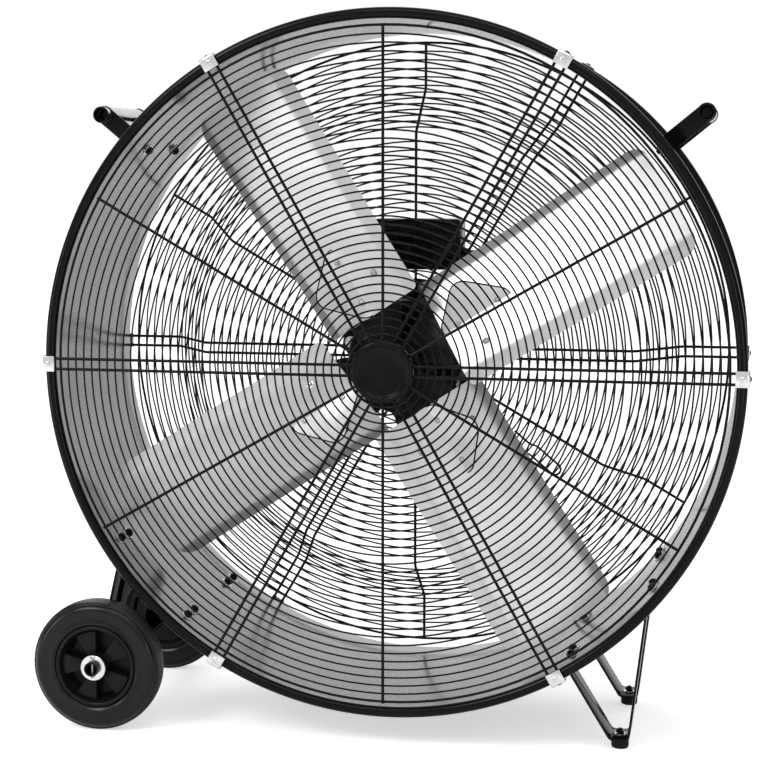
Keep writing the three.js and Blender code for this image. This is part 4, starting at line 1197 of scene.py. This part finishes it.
# ------------------------------------------------------------------ switch box and hook
@dataclass
class SwitchBox:
    """The box above the motor: tray, cover, knob, gland and screws."""

    place: FanPlace
    fasteners: Fasteners
    width: float = 160 * MM
    height: float = 90 * MM
    corner: float = 8 * MM
    wall: float = 2 * MM
    rise: float = 192 * MM
    knob_flutes: int = 14
    screw_inset: float = 10 * MM

    def ring(self, inset: float, along: float) -> list[Vector]:
        """The box's rounded outline, made smaller by inset, at a place along the axis."""
        x, z = self.width / 2 - inset, self.height / 2 - inset
        corners = flat([(i * x, k * z) for i, k in CORNERS], along)
        return rounded(corners, max(self.corner - inset, MM), 6, closed=True)

    def build(self) -> None:
        """Makes the box and what is on it."""
        seat = self.place.turned() @ Matrix.Translation((0, 0, self.rise))
        front, rear = (corner.y - self.place.origin.y for corner in node_box("switch_box"))
        depth = rear - front
        tray = plate("switch_tray", self.ring(0, front + depth / 2), depth, 2.5 * MM)
        with editing(tray, "FACE"):
            choose_faces(tray, lambda middle, normal: normal.y > 0.95)
            bpy.ops.mesh.delete(type="FACE")
        refined(tray, "SOLIDIFY", thickness=self.wall, offset=-1.0, use_even_offset=True)
        dressed(moved(tray, seat), Paint.ENAMEL, Body.BASE, ["switch_box"])

        low, high = (corner.y - self.place.origin.y for corner in node_box("switch_cover"))
        cover = plate("box_cover", self.ring(0, (low + high) / 2), high - low, 0.6 * MM)
        dressed(moved(cover, seat), Paint.ENAMEL, Body.BASE, ["switch_cover"])
        back = seat @ Matrix.Translation((0, high, 0)) @ Matrix.Rotation(math.pi, 4, "Z")
        x, z = self.width / 2 - self.screw_inset, self.height / 2 - self.screw_inset
        spots = [back @ Matrix.Translation((i * x, 0, k * z)) for i, k in CORNERS]
        self.fasteners.row("cover_screws", "pan_screw", spots, Paint.ZINC)
        self.knob(high)
        self.gland()

    def knob(self, face: float) -> None:
        """The fluted knob with its pointer."""
        low, high = node_box("speed_knob")
        middle = (low + high) / 2
        radius = (high.x - low.x) / 2
        start = self.place.origin.y + face + GAP
        tall = high.y - start - 5 * MM
        points = self.knob_flutes * 4
        ring = [polar(radius - (1.4 * MM if i % 4 in (0, 1) else 0.0), FULL_TURN * i / points)
                for i in range(points)]
        grip = plate("grip", flat(ring, tall / 2), tall, 0.7 * MM)
        tongue = flat([(i * 3.5 * MM, k * radius * 0.8) for i, k in CORNERS], tall + 2 * MM)
        pointer = plate("pointer", rounded(tongue, 3 * MM, closed=True), 6 * MM, 0.8 * MM)
        knob = joined("fluted_knob", [grip, pointer])
        moved(knob, Matrix.Translation((middle.x, start, middle.z)))
        dressed(knob, Paint.PLASTIC, Body.KNOB, ["speed_knob"])

    def gland(self) -> None:
        """The cable gland: a flange, a six-sided nut and a ribbed nose, along +X."""
        low, high = node_box("cable_gland")
        length, radius = high.x - low.x, (high.z - low.z) / 2
        bore = 4.5 * MM
        nose = radius - 3 * MM
        outline = [(bore, 0), (radius, 0), (radius, 3 * MM), (nose, 3 * MM)]
        for i in range(5):
            start = length * 0.55 + i * length * 0.09
            outline += [(nose, start), (nose - MM, start + length * 0.02)]
        outline += [(nose - 2 * MM, length), (bore, length)]
        body = lathed("gland_body", outline, 40, closed=True)
        bpy.ops.mesh.primitive_cylinder_add(vertices=6, radius=radius * 0.98, depth=length * 0.34,
                                            location=(0, length * 0.32, 0),
                                            rotation=(math.pi / 2, 0, 0))
        nut = softened(moved(named("gland_nut"), Matrix.Identity(4)), 0.7 * MM)
        gland = joined("ribbed_gland", [body, nut])
        lay = Matrix.Translation((low.x, (low.y + high.y) / 2, (low.z + high.z) / 2))
        moved(gland, lay @ Matrix.Rotation(-math.pi / 2, 4, "Z"))
        dressed(gland, Paint.PLASTIC, Body.BASE, ["cable_gland"])


@dataclass
class CordHook:
    """The bent wire hook that a cord is wound on, behind the rear guard."""

    place: FanPlace
    wire_radius: float = 2 * MM
    angle: float = -40.0
    radius: float = 262 * MM
    root: float = 36 * MM
    stand: float = 28 * MM
    length: float = 74 * MM
    spread: float = 20 * MM
    lying: float = 302.3 * MM
    crank: float = 12 * MM

    def build(self) -> None:
        """Bends the hook: two feet on the rings, a crank and a loop."""
        half = self.spread / 2
        up = self.lying + self.stand
        legs = [(-self.root, self.lying), (0.0, self.lying), (self.crank, up),
                (self.length - half, up)]
        out = rounded([Vector((x, y, half)) for x, y in legs], 6 * MM)
        back = [Vector((p.x, p.y, -p.z)) for p in reversed(out)]
        loop = [Vector((x, up, z))
                for x, z in arc((self.length - half, 0.0), half, 80, -80, 12)]
        hook = wire("bent_hook", [*out, *loop, *back], self.wire_radius)
        moved(hook, self.place.turned(self.angle, 0.0, self.radius))
        dressed(hook, Paint.WIRE, Body.BASE, ["cord_hook"], crease=60)


# ------------------------------------------------------------------ handles
@dataclass
class Handle:
    """One carrying handle: a tube in two bent brackets, with a ring in each end."""

    place: FanPlace
    fasteners: Fasteners
    side: str
    angle: float
    radius: float = 658 * MM
    tube_radius: float = 14 * MM
    tube_wall: float = 2 * MM
    spacing: float = 180 * MM
    overhang: float = 16 * MM
    bracket_width: float = 30 * MM
    bracket_sheet: float = 3 * MM
    bracket_foot: float = 26 * MM
    drum_radius: float = 568 * MM

    def bracket(self) -> bpy.types.Object:
        """One bracket at +X, its plate from 0 towards +Y and its foot on the drum."""
        sheet = self.bracket_sheet
        half = self.bracket_width / 2
        eye = self.tube_radius + 1.5 * MM
        hug = math.degrees(math.asin(half / eye))
        seat = self.drum_radius + 0.2 * MM
        end = arc((self.radius, 0.0), eye, hug - 180, 180 - hug, 28)
        outline = [(seat + sheet, -half), *end, (seat + sheet, half)]
        face = plate("face", flat(outline, sheet / 2), sheet, 0.5 * MM)
        line = rounded([Vector((seat + 9 * MM, sheet / 2, -half)),
                        Vector((seat + sheet / 2, sheet / 2, -half)),
                        Vector((seat + sheet / 2, self.bracket_foot, -half))], 5 * MM)
        foot = bent_bar("foot", line, Vector((0, 0, self.bracket_width)), sheet)
        return joined("bracket_pattern", [face, foot])

    def build(self) -> None:
        """Makes the brackets, the tube, the caps and the bolts."""
        middle = self.place.depth / 2
        bracket = self.bracket()
        ends = {"front": (middle - self.spacing / 2, 1), "rear": (middle + self.spacing / 2, -1)}
        foot_spots = []
        for end, (along, way) in ends.items():
            turn = self.place.turned(self.angle, along) @ Matrix.Diagonal((1, way, 1, 1))
            piece = copied(bracket, f"{self.side}_{end}_bracket", turn)
            dressed(piece, Paint.ENAMEL, Body.BASE, [f"handle_bracket_{self.side}_{end}"])
            foot_spots.append(along + way * 0.6 * self.bracket_foot)
            self.cap(end, middle, way)
        scrap(bracket)

        half = self.spacing / 2 + self.overhang
        bore = self.tube_radius - self.tube_wall
        tube = lathed("tube", [(bore, -half), (self.tube_radius - 0.5 * MM, -half),
                               (self.tube_radius, 0.5 * MM - half),
                               (self.tube_radius, half - 0.5 * MM),
                               (self.tube_radius - 0.5 * MM, half), (bore, half)], 64, closed=True)
        moved(tube, self.place.turned(self.angle, middle, self.radius))
        tube = joined(f"{self.side}_grip_tube", [tube])
        dressed(tube, Paint.TUBE, Body.BASE, [f"handle_tube_{self.side}"])
        drum_bolts(self.place, self.fasteners, f"{self.side}_handle", [self.angle], foot_spots,
                   self.drum_radius + self.bracket_sheet)

    def cap(self, end: str, middle: float, way: int) -> None:
        """The open ring pressed into one end of the tube, with a rounded lip."""
        head, rim = 2.4 * MM, self.tube_radius
        sleeve = rim - self.tube_wall - 0.2 * MM
        bore = sleeve - 0.7 * MM
        outline = [(bore, -head * 0.5), (bore + 0.6 * MM, -head), (rim - MM, -head),
                   (rim, 0.8 * MM - head), (rim, 0), (sleeve, 0), (sleeve, 9 * MM),
                   (bore, 9 * MM)]
        cap = lathed(f"{self.side}_{end}_cap", outline, 48, closed=True)
        along = middle - way * (self.spacing / 2 + self.overhang + GAP)
        turn = self.place.turned(self.angle, along, self.radius) @ Matrix.Diagonal((1, way, 1, 1))
        dressed(moved(cap, turn), Paint.PLASTIC, Body.BASE, [f"handle_cap_{self.side}_{end}"])


def drum_bolts(place: FanPlace, fasteners: Fasteners, name: str, angles: Sequence[float],
               spots: Sequence[float], seat: float) -> None:
    """Bolts a part to the drum: heads outside, star washers and nuts inside.

    Args:
        place: the fan's place.
        fasteners: the patterns.
        name: the start of the new pieces' names.
        angles: where the bolts are round the drum.
        spots: where they are along it.
        seat: the radius of the surface under their heads.
    """
    outwards = Matrix.Rotation(math.pi / 2, 4, "Z")
    inwards = Matrix.Rotation(-math.pi / 2, 4, "Z")
    places = [(angle, along) for angle in angles for along in spots]
    heads = [place.turned(a, y, seat + 0.2 * MM) @ outwards for a, y in places]
    nuts = [place.turned(a, y, place.lining) @ inwards for a, y in places]
    fasteners.row(f"{name}_bolts", "hex_bolt", heads, Paint.ENAMEL)
    fasteners.row(f"{name}_star_washers", "star_washer", nuts, Paint.ZINC)
    fasteners.row(f"{name}_nuts", "nut", nuts, Paint.ENAMEL)


# ------------------------------------------------------------------ legs
@dataclass
class Legs:
    """The bent straps that carry the axle and the rubber feet."""

    place: FanPlace
    fasteners: Fasteners
    sheet: float = 4 * MM
    width: float = 60 * MM
    flange: float = 32 * MM
    bend: float = 9 * MM
    wheel_angles: tuple[float, float] = (213.0, 231.0)
    foot_angles: tuple[float, float] = (303.0, 321.0)
    foot_flat: float = 30 * MM
    drum_radius: float = 567.5 * MM
    bolt_spread: float = 19 * MM

    def flange_ends(self, degrees: float) -> list[Vector]:
        """The two ends of a flange that lies on the drum, the lower angle first."""
        angle = math.radians(degrees)
        seat = self.drum_radius + self.sheet / 2
        out = Vector((math.cos(angle), 0, math.sin(angle)))
        tangent = Vector((-math.sin(angle), 0, math.cos(angle)))
        return [out * seat + tangent * (side * self.flange / 2) for side in (-1, 1)]

    def wheel_line(self) -> list[Vector]:
        """The wheel strap's middle line: flange, arm, round the axle, arm, flange."""
        low, high = (corner - self.place.origin for corner in node_box("axle"))
        axle = (low + high) / 2
        axle.y = 0
        wrap = (high.x - low.x) / 2 + GAP + self.sheet / 2
        first, second = (self.flange_ends(angle) for angle in self.wheel_angles)
        start = self.touch(first[1], axle, wrap, 1)
        end = self.touch(second[0], axle, wrap, -1)
        sweep = (end - start) % FULL_TURN
        steps = 16
        loop = []
        for i in range(steps + 1):
            angle = start + sweep * i / steps
            loop.append(axle + Vector((math.cos(angle), 0, math.sin(angle))) * wrap)
        down = rounded([*first, loop[0]], self.bend)[:-1]
        up = rounded([loop[-1], *second], self.bend)[1:]
        return [*down, *loop, *up]

    @staticmethod
    def touch(point: Vector, centre: Vector, radius: float, side: int) -> float:
        """The angle where a line from a point touches a circle, on one side of it."""
        away = point - centre
        return math.atan2(away.z, away.x) + side * math.acos(radius / away.length)

    def foot_line(self) -> list[Vector]:
        """The foot strap's middle line: flange, arm, flat, arm, flange."""
        low, high = (corner - self.place.origin for corner in node_box("rubber_foot_front"))
        first, second = (self.flange_ends(angle) for angle in self.foot_angles)
        x, z = (low.x + high.x) / 2, high.z + GAP + self.sheet / 2
        half = self.foot_flat / 2
        corners = [first[1], first[0], Vector((x - half, 0, z)), Vector((x + half, 0, z)),
                   second[0], second[1]]
        return rounded(corners, self.bend)

    def foot(self, end: str) -> None:
        """One rubber foot: a ribbed, tapered pad with a bolt through the strap's flat."""
        low, high = node_box(f"rubber_foot_{end}")
        middle = (low + high) / 2
        radius, tall = (high.x - low.x) / 2, high.z - low.z
        outline = [(0, 0), (radius - 3 * MM, 0), (radius - 2 * MM, MM)]
        for i in range(3):
            at = tall * (0.3 + 0.2 * i)
            outline += [(radius - 1.2 * MM, at - 0.6 * MM), (radius - 2 * MM, at),
                        (radius - 1.2 * MM, at + 0.6 * MM)]
        outline += [(radius, tall - MM), (radius - MM, tall), (0, tall)]
        foot = lathed(f"{end}_foot_pad", outline, 48)
        stand = Matrix.Translation((middle.x, middle.y, low.z)) @ Matrix.Rotation(
            math.pi / 2, 4, "X")
        dressed(moved(foot, stand), Paint.RUBBER, Body.BASE, [f"rubber_foot_{end}"])
        top = Matrix.Translation((middle.x, middle.y, high.z + GAP + self.sheet))
        up = top @ Matrix.Rotation(-math.pi / 2, 4, "X")
        self.fasteners.row(f"{end}_foot_washer", "star_washer", [up], Paint.ZINC)
        self.fasteners.row(f"{end}_foot_nut", "nut", [up], Paint.ENAMEL)

    def build(self) -> None:
        """Makes the four straps, the feet and the bolts."""
        for kind, line, angles in (("wheel", self.wheel_line(), self.wheel_angles),
                                   ("foot", self.foot_line(), self.foot_angles)):
            for end in End:
                node = f"{kind}_strap_{end.word}"
                low = node_box(node)[0].y - self.place.origin.y
                bar = bent_bar(f"{kind}_leg_{end.word}", line, Vector((0, self.width, 0)),
                               self.sheet, 0.7 * MM)
                moved(bar, self.place.turned(0.0, low))
                dressed(bar, Paint.ENAMEL, Body.BASE, [node])
                middle = low + self.width / 2
                spots = [middle - self.bolt_spread, middle + self.bolt_spread]
                drum_bolts(self.place, self.fasteners, node, angles, spots,
                           self.drum_radius + self.sheet)
        for end in End:
            self.foot(end.word)


# ------------------------------------------------------------------ wheels
@dataclass
class Wheels:
    """The axle, the two wheels with their tyres, washers and cotter pins."""

    place: FanPlace
    half: float = 25 * MM
    hub_radius: float = 21 * MM
    hub_nose: float = 3 * MM
    tyre_bore: float = 71 * MM
    radius: float = 113 * MM
    wedges: int = 5
    ribs: int = 7

    def tyre(self) -> bpy.types.Object:
        """One tyre: rounded sidewalls with two fine rings, and a ribbed tread."""
        bore, outer, half = self.tyre_bore + GAP, self.radius, self.half
        wall = [(bore, -half + 7 * MM), (bore, -half + 5 * MM), (bore + 2 * MM, -half + 2.5 * MM),
                (bore + 5 * MM, -half + 2 * MM), (bore + 5.6 * MM, -half + 1.2 * MM),
                (bore + 7 * MM, -half + 1.2 * MM), (bore + 7.6 * MM, -half + 1.6 * MM)]
        bulge = arc((outer - 17 * MM, -half + 12.6 * MM), 12.6 * MM, -100, -25, 10)
        wall += [*bulge, (outer - 4.2 * MM, -half + 8.6 * MM), (outer - 3.4 * MM, -half + 8.6 * MM)]
        tread = []
        span = 2 * (half - 9.5 * MM)
        for i in range(self.ribs):
            start = -span / 2 + span * i / self.ribs
            pitch = span / self.ribs
            crown = outer - 1.6 * MM * ((start + pitch / 2) / (span / 2)) ** 2
            tread += [(crown - 1.4 * MM, start + 0.1 * pitch), (crown, start + 0.28 * pitch),
                      (crown, start + 0.8 * pitch), (crown - 1.4 * MM, start + 0.94 * pitch)]
        mirrored = [(r, -y) for r, y in reversed(wall)]
        return lathed("tyre_pattern", [*wall, *tread, *mirrored], 120, closed=True)

    def rim(self) -> bpy.types.Object:
        """One moulded rim: lip, deep well with raised wedges, and hub."""
        bore, hub = 12.9 * MM, self.hub_radius
        nose, tail = -self.half - self.hub_nose, self.half + 12.7 * MM
        lip = self.half - 4 * MM
        ledge = self.tyre_bore - 9 * MM
        edge = arc((self.tyre_bore - 4 * MM, -lip + 1.8 * MM), 4 * MM, -10, -170, 8)
        outline = [
            (bore, nose), (hub - MM, nose), (hub, nose + MM), (hub + 2 * MM, 6 * MM),
            (ledge - 8 * MM, 7 * MM), (ledge - 2 * MM, -9 * MM), *reversed(edge),
            (self.tyre_bore, -lip + 3 * MM), (self.tyre_bore, lip), (ledge, lip),
            (ledge - 4 * MM, 13 * MM), (hub + 2 * MM, 12 * MM), (hub, tail), (bore, tail),
        ]
        body = lathed("rim_body", outline, 96, closed=True)
        parts = [body]
        span = 180 / self.wedges
        for i in range(self.wedges):
            start = 90 + 360 * i / self.wedges
            inner = arc((0, 0), hub - MM, start, start + span, 6)
            outer = arc((0, 0), ledge - 2 * MM, start + span, start, 10)
            tops = rounded(flat([*inner, *outer], -3.5 * MM), 2 * MM, 2, closed=True)
            parts.append(plate(f"wedge_{i}", tops, 22 * MM, 1.2 * MM))
        return joined("rim_pattern", parts)

    def build(self) -> None:
        """Makes the axle and both wheels."""
        low, high = node_box("axle")
        middle = (low + high) / 2
        radius, reach = (high.x - low.x) / 2, (high.y - low.y) / 2
        bore = radius - 3 * MM
        outline = [(bore, -reach), (radius - MM, -reach), (radius, MM - reach),
                   (radius, reach - MM), (radius - MM, reach), (bore, reach)]
        axle = lathed("axle_tube", outline, 48, closed=True)
        dressed(moved(axle, Matrix.Translation(middle)), Paint.ENAMEL, Body.BASE, ["axle"])
        tyre, rim = self.tyre(), self.rim()
        for end, body in ((End.FRONT, Body.WHEEL_FRONT), (End.REAR, Body.WHEEL_REAR)):
            word = end.word
            tyre_low, tyre_high = node_box(f"tyre_{word}")
            turn = Matrix.Diagonal((1, -end.value, 1, 1))
            seat = Matrix.Translation((tyre_low + tyre_high) / 2) @ turn
            dressed(copied(tyre, f"{word}_tyre", seat), Paint.TYRE, body, [f"tyre_{word}"],
                    crease=50)
            dressed(copied(rim, f"{word}_rim", seat), Paint.PLASTIC, body,
                    [f"wheel_rim_{word}"], crease=30)
            self.washer(word, radius)
            self.pin(word)
        scrap(tyre)
        scrap(rim)

    def washer(self, word: str, bore: float) -> None:
        """The zinc washer in front of one wheel."""
        low, high = node_box(f"wheel_washer_{word}")
        radius, half = (high.x - low.x) / 2, (high.y - low.y) / 2
        inner = bore + GAP
        outline = [(inner, -half), (radius - 0.6 * MM, -half), (radius, 0.6 * MM - half),
                   (radius, half), (inner, half)]
        washer = lathed(f"{word}_washer", outline, 72, closed=True)
        moved(washer, Matrix.Translation((low + high) / 2))
        dressed(washer, Paint.ZINC, Body.BASE, [f"wheel_washer_{word}"])

    def pin(self, word: str) -> None:
        """One cotter pin: an eye, two legs through the axle and their bent ends."""
        low, high = node_box(f"cotter_pin_{word}")
        centre = (low + high) / 2
        size = high - low
        flat_lying = size.x > size.z
        reach = max(size.x, size.z) / 2
        thick = 0.85 * MM
        eye = [Vector((x, 0, z)) for x, z in arc((reach - 3 * MM, 0), 3 * MM, 150, -150, 14)]
        legs = [Vector((reach - 7 * MM, 0, thick)), Vector((-reach + 4 * MM, 0, thick)),
                Vector((-reach + MM, 0, 4 * MM))]
        other = [Vector((p.x, p.y, -p.z)) for p in legs]
        path = [*rounded(list(reversed(legs)), 2 * MM), *eye, *rounded(other, 2 * MM)]
        pin = wire(f"{word}_cotter", path, thick, 8)
        turn = 0.0 if flat_lying else math.pi / 2
        moved(pin, Matrix.Translation(centre) @ Matrix.Rotation(turn, 4, "Y"))
        dressed(pin, Paint.STEEL, Body.BASE, [f"cotter_pin_{word}"], crease=60)


# ------------------------------------------------------------------ studio
@dataclass
class Studio:
    """The camera at the photograph's angle, a white floor and soft light."""

    place: FanPlace
    azimuth: float = 11.2
    elevation: float = 7.17
    stand: tuple[float, float, float] = (0.569, -2.904, 0.346)
    sensor: float = 36.0
    lens: float = 85.0
    floor_size: float = 60.0
    floor_glow: float = 0.55
    floor_shine: float = 0.15
    side_level: float = 0.16
    room_level: float = 0.5
    ceiling_level: float = 0.5
    key_power: float = 48.0
    top_power: float = 20.0
    side_power: float = 9.0

    def camera(self) -> None:
        """Sets the camera in front of the fan, a little above and to the right."""
        deselect_all()
        bpy.ops.object.camera_add(location=self.place.origin + Vector(self.stand))
        camera = bpy.context.object
        camera.rotation_euler = (math.radians(90 - self.elevation), 0,
                                 math.radians(self.azimuth))
        camera.data.sensor_width = self.sensor
        camera.data.lens = self.lens
        camera.data.clip_end = 100.0
        bpy.context.scene.camera = camera

    def floor(self) -> None:
        """The pale floor, white to the camera, less so in reflections, and still shadowed."""
        deselect_all()
        bpy.ops.mesh.primitive_plane_add(size=self.floor_size)
        floor = named("floor")
        bench = MaterialBench("pale_floor")
        path = bench.add("LightPath", {}).outputs
        shine = bench.math("MULTIPLY", path["Is Glossy Ray"], self.floor_shine)
        bench.feed(bench.shader, {
            "Base Color": (0.9, 0.9, 0.9, 1.0), "Roughness": 0.9, "Specular IOR Level": 0.0,
            "Emission Color": (1.0, 1.0, 1.0, 1.0),
            "Emission Strength": bench.math("MULTIPLY_ADD", path["Is Camera Ray"],
                                            self.floor_glow, shine),
        })
        floor.data.materials.append(bench.material)

    def world(self) -> None:
        """White where seen; as light, a white backdrop, a dimmer room in front and dark sides."""
        world = bpy.data.worlds.new("studio_white")
        bpy.context.scene.world = world
        world.use_nodes = True
        bench = NodeBench(world.node_tree)
        way = bench.add("SeparateXYZ", {0: bench.coordinates["Generated"]}).outputs
        path = bench.add("LightPath", {}).outputs

        def ramp(axis: str, start: float, end: float, low: float,
                 high: float) -> bpy.types.NodeSocket:
            """A level that goes from low to high as a direction turns towards an axis."""
            inputs = {"Value": way[axis], "From Min": start, "From Max": end, "To Min": low,
                      "To Max": high}
            return bench.add("MapRange", inputs).outputs[0]

        backdrop = ramp("Y", 0.25, 0.7, self.side_level, 1.0)
        room = ramp("Y", -0.2, -0.7, 0.0, self.room_level)
        ceiling = ramp("Z", 0.15, 0.9, 0.0, self.ceiling_level)
        level = bench.math("ADD", bench.math("ADD", backdrop, room, clamp=True), ceiling,
                           clamp=True)
        level = bench.math("MAXIMUM", level, path["Is Camera Ray"], clamp=True)
        bench.feed(world.node_tree.nodes["Background"],
                   {"Color": (1.0, 1.0, 1.0, 1.0), "Strength": level})

    def lamp(self, name: str, spot: tuple[float, float, float], wide: float, tall: float,
             power: float) -> None:
        """A soft lamp aimed at the fan.

        Args:
            name: the lamp's name.
            spot: its place, from the middle of the drum's front edge.
            wide: its width.
            tall: its height.
            power: its power in watts.
        """
        deselect_all()
        bpy.ops.object.light_add(type="AREA", location=self.place.origin + Vector(spot))
        lamp = bpy.context.object
        lamp.name = name
        lamp.data.shape = "RECTANGLE"
        lamp.data.size = wide
        lamp.data.size_y = tall
        lamp.data.energy = power
        lamp.rotation_euler = Vector(spot).to_track_quat("Z", "Y").to_euler()

    def build(self) -> None:
        """Sets up the whole studio."""
        scene = bpy.context.scene
        scene.view_settings.view_transform = "Standard"
        self.camera()
        self.floor()
        self.world()
        self.lamp("key_lamp", (-2.0, -2.2, 2.2), 1.3, 1.3, self.key_power)
        self.lamp("top_strip", (0.4, -1.4, 2.6), 2.4, 0.3, self.top_power)
        self.lamp("left_strip", (-2.4, -1.3, 0.0), 0.2, 1.1, self.side_power)
        self.lamp("right_strip", (2.3, -2.5, 0.0), 0.2, 1.1, self.side_power)


# ------------------------------------------------------------------ the fan
INNER_NODES = {
    "stator_windings": Paint.COPPER,
    "bearing_front": Paint.STEEL,
    "bearing_rear": Paint.STEEL,
    "rotor_shaft": Paint.STEEL,
    "rotary_switch": Paint.PLASTIC,
}


def redress(node: bpy.types.Object, finish: Finish) -> None:
    """Gives one of the frame's own nodes a better finish."""
    for material_slot in node.material_slots:
        material_slot.material = Paint.of(finish)


def main() -> None:
    """Builds the fan's looks round its frame."""
    logging.basicConfig(level=logging.INFO, format="%(name)s %(message)s")
    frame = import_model()
    deselect_all()
    place = FanPlace.measured()
    fasteners = Fasteners()
    Studio(place).build()
    assemblies = [
        Drum(place), Guards(place, fasteners), Motor(place, fasteners), Rotor(place, fasteners),
        SwitchBox(place, fasteners), CordHook(place), Handle(place, fasteners, "right", 39.4),
        Handle(place, fasteners, "left", 140.6), Legs(place, fasteners), Wheels(place),
    ]
    for assembly in assemblies:
        assembly.build()
        LOG.info("%s done", type(assembly).__name__)
    fasteners.put_away()
    for name, finish in INNER_NODES.items():
        redress(frame["nodes"][name], finish)


if __name__ == "__main__":
    main()
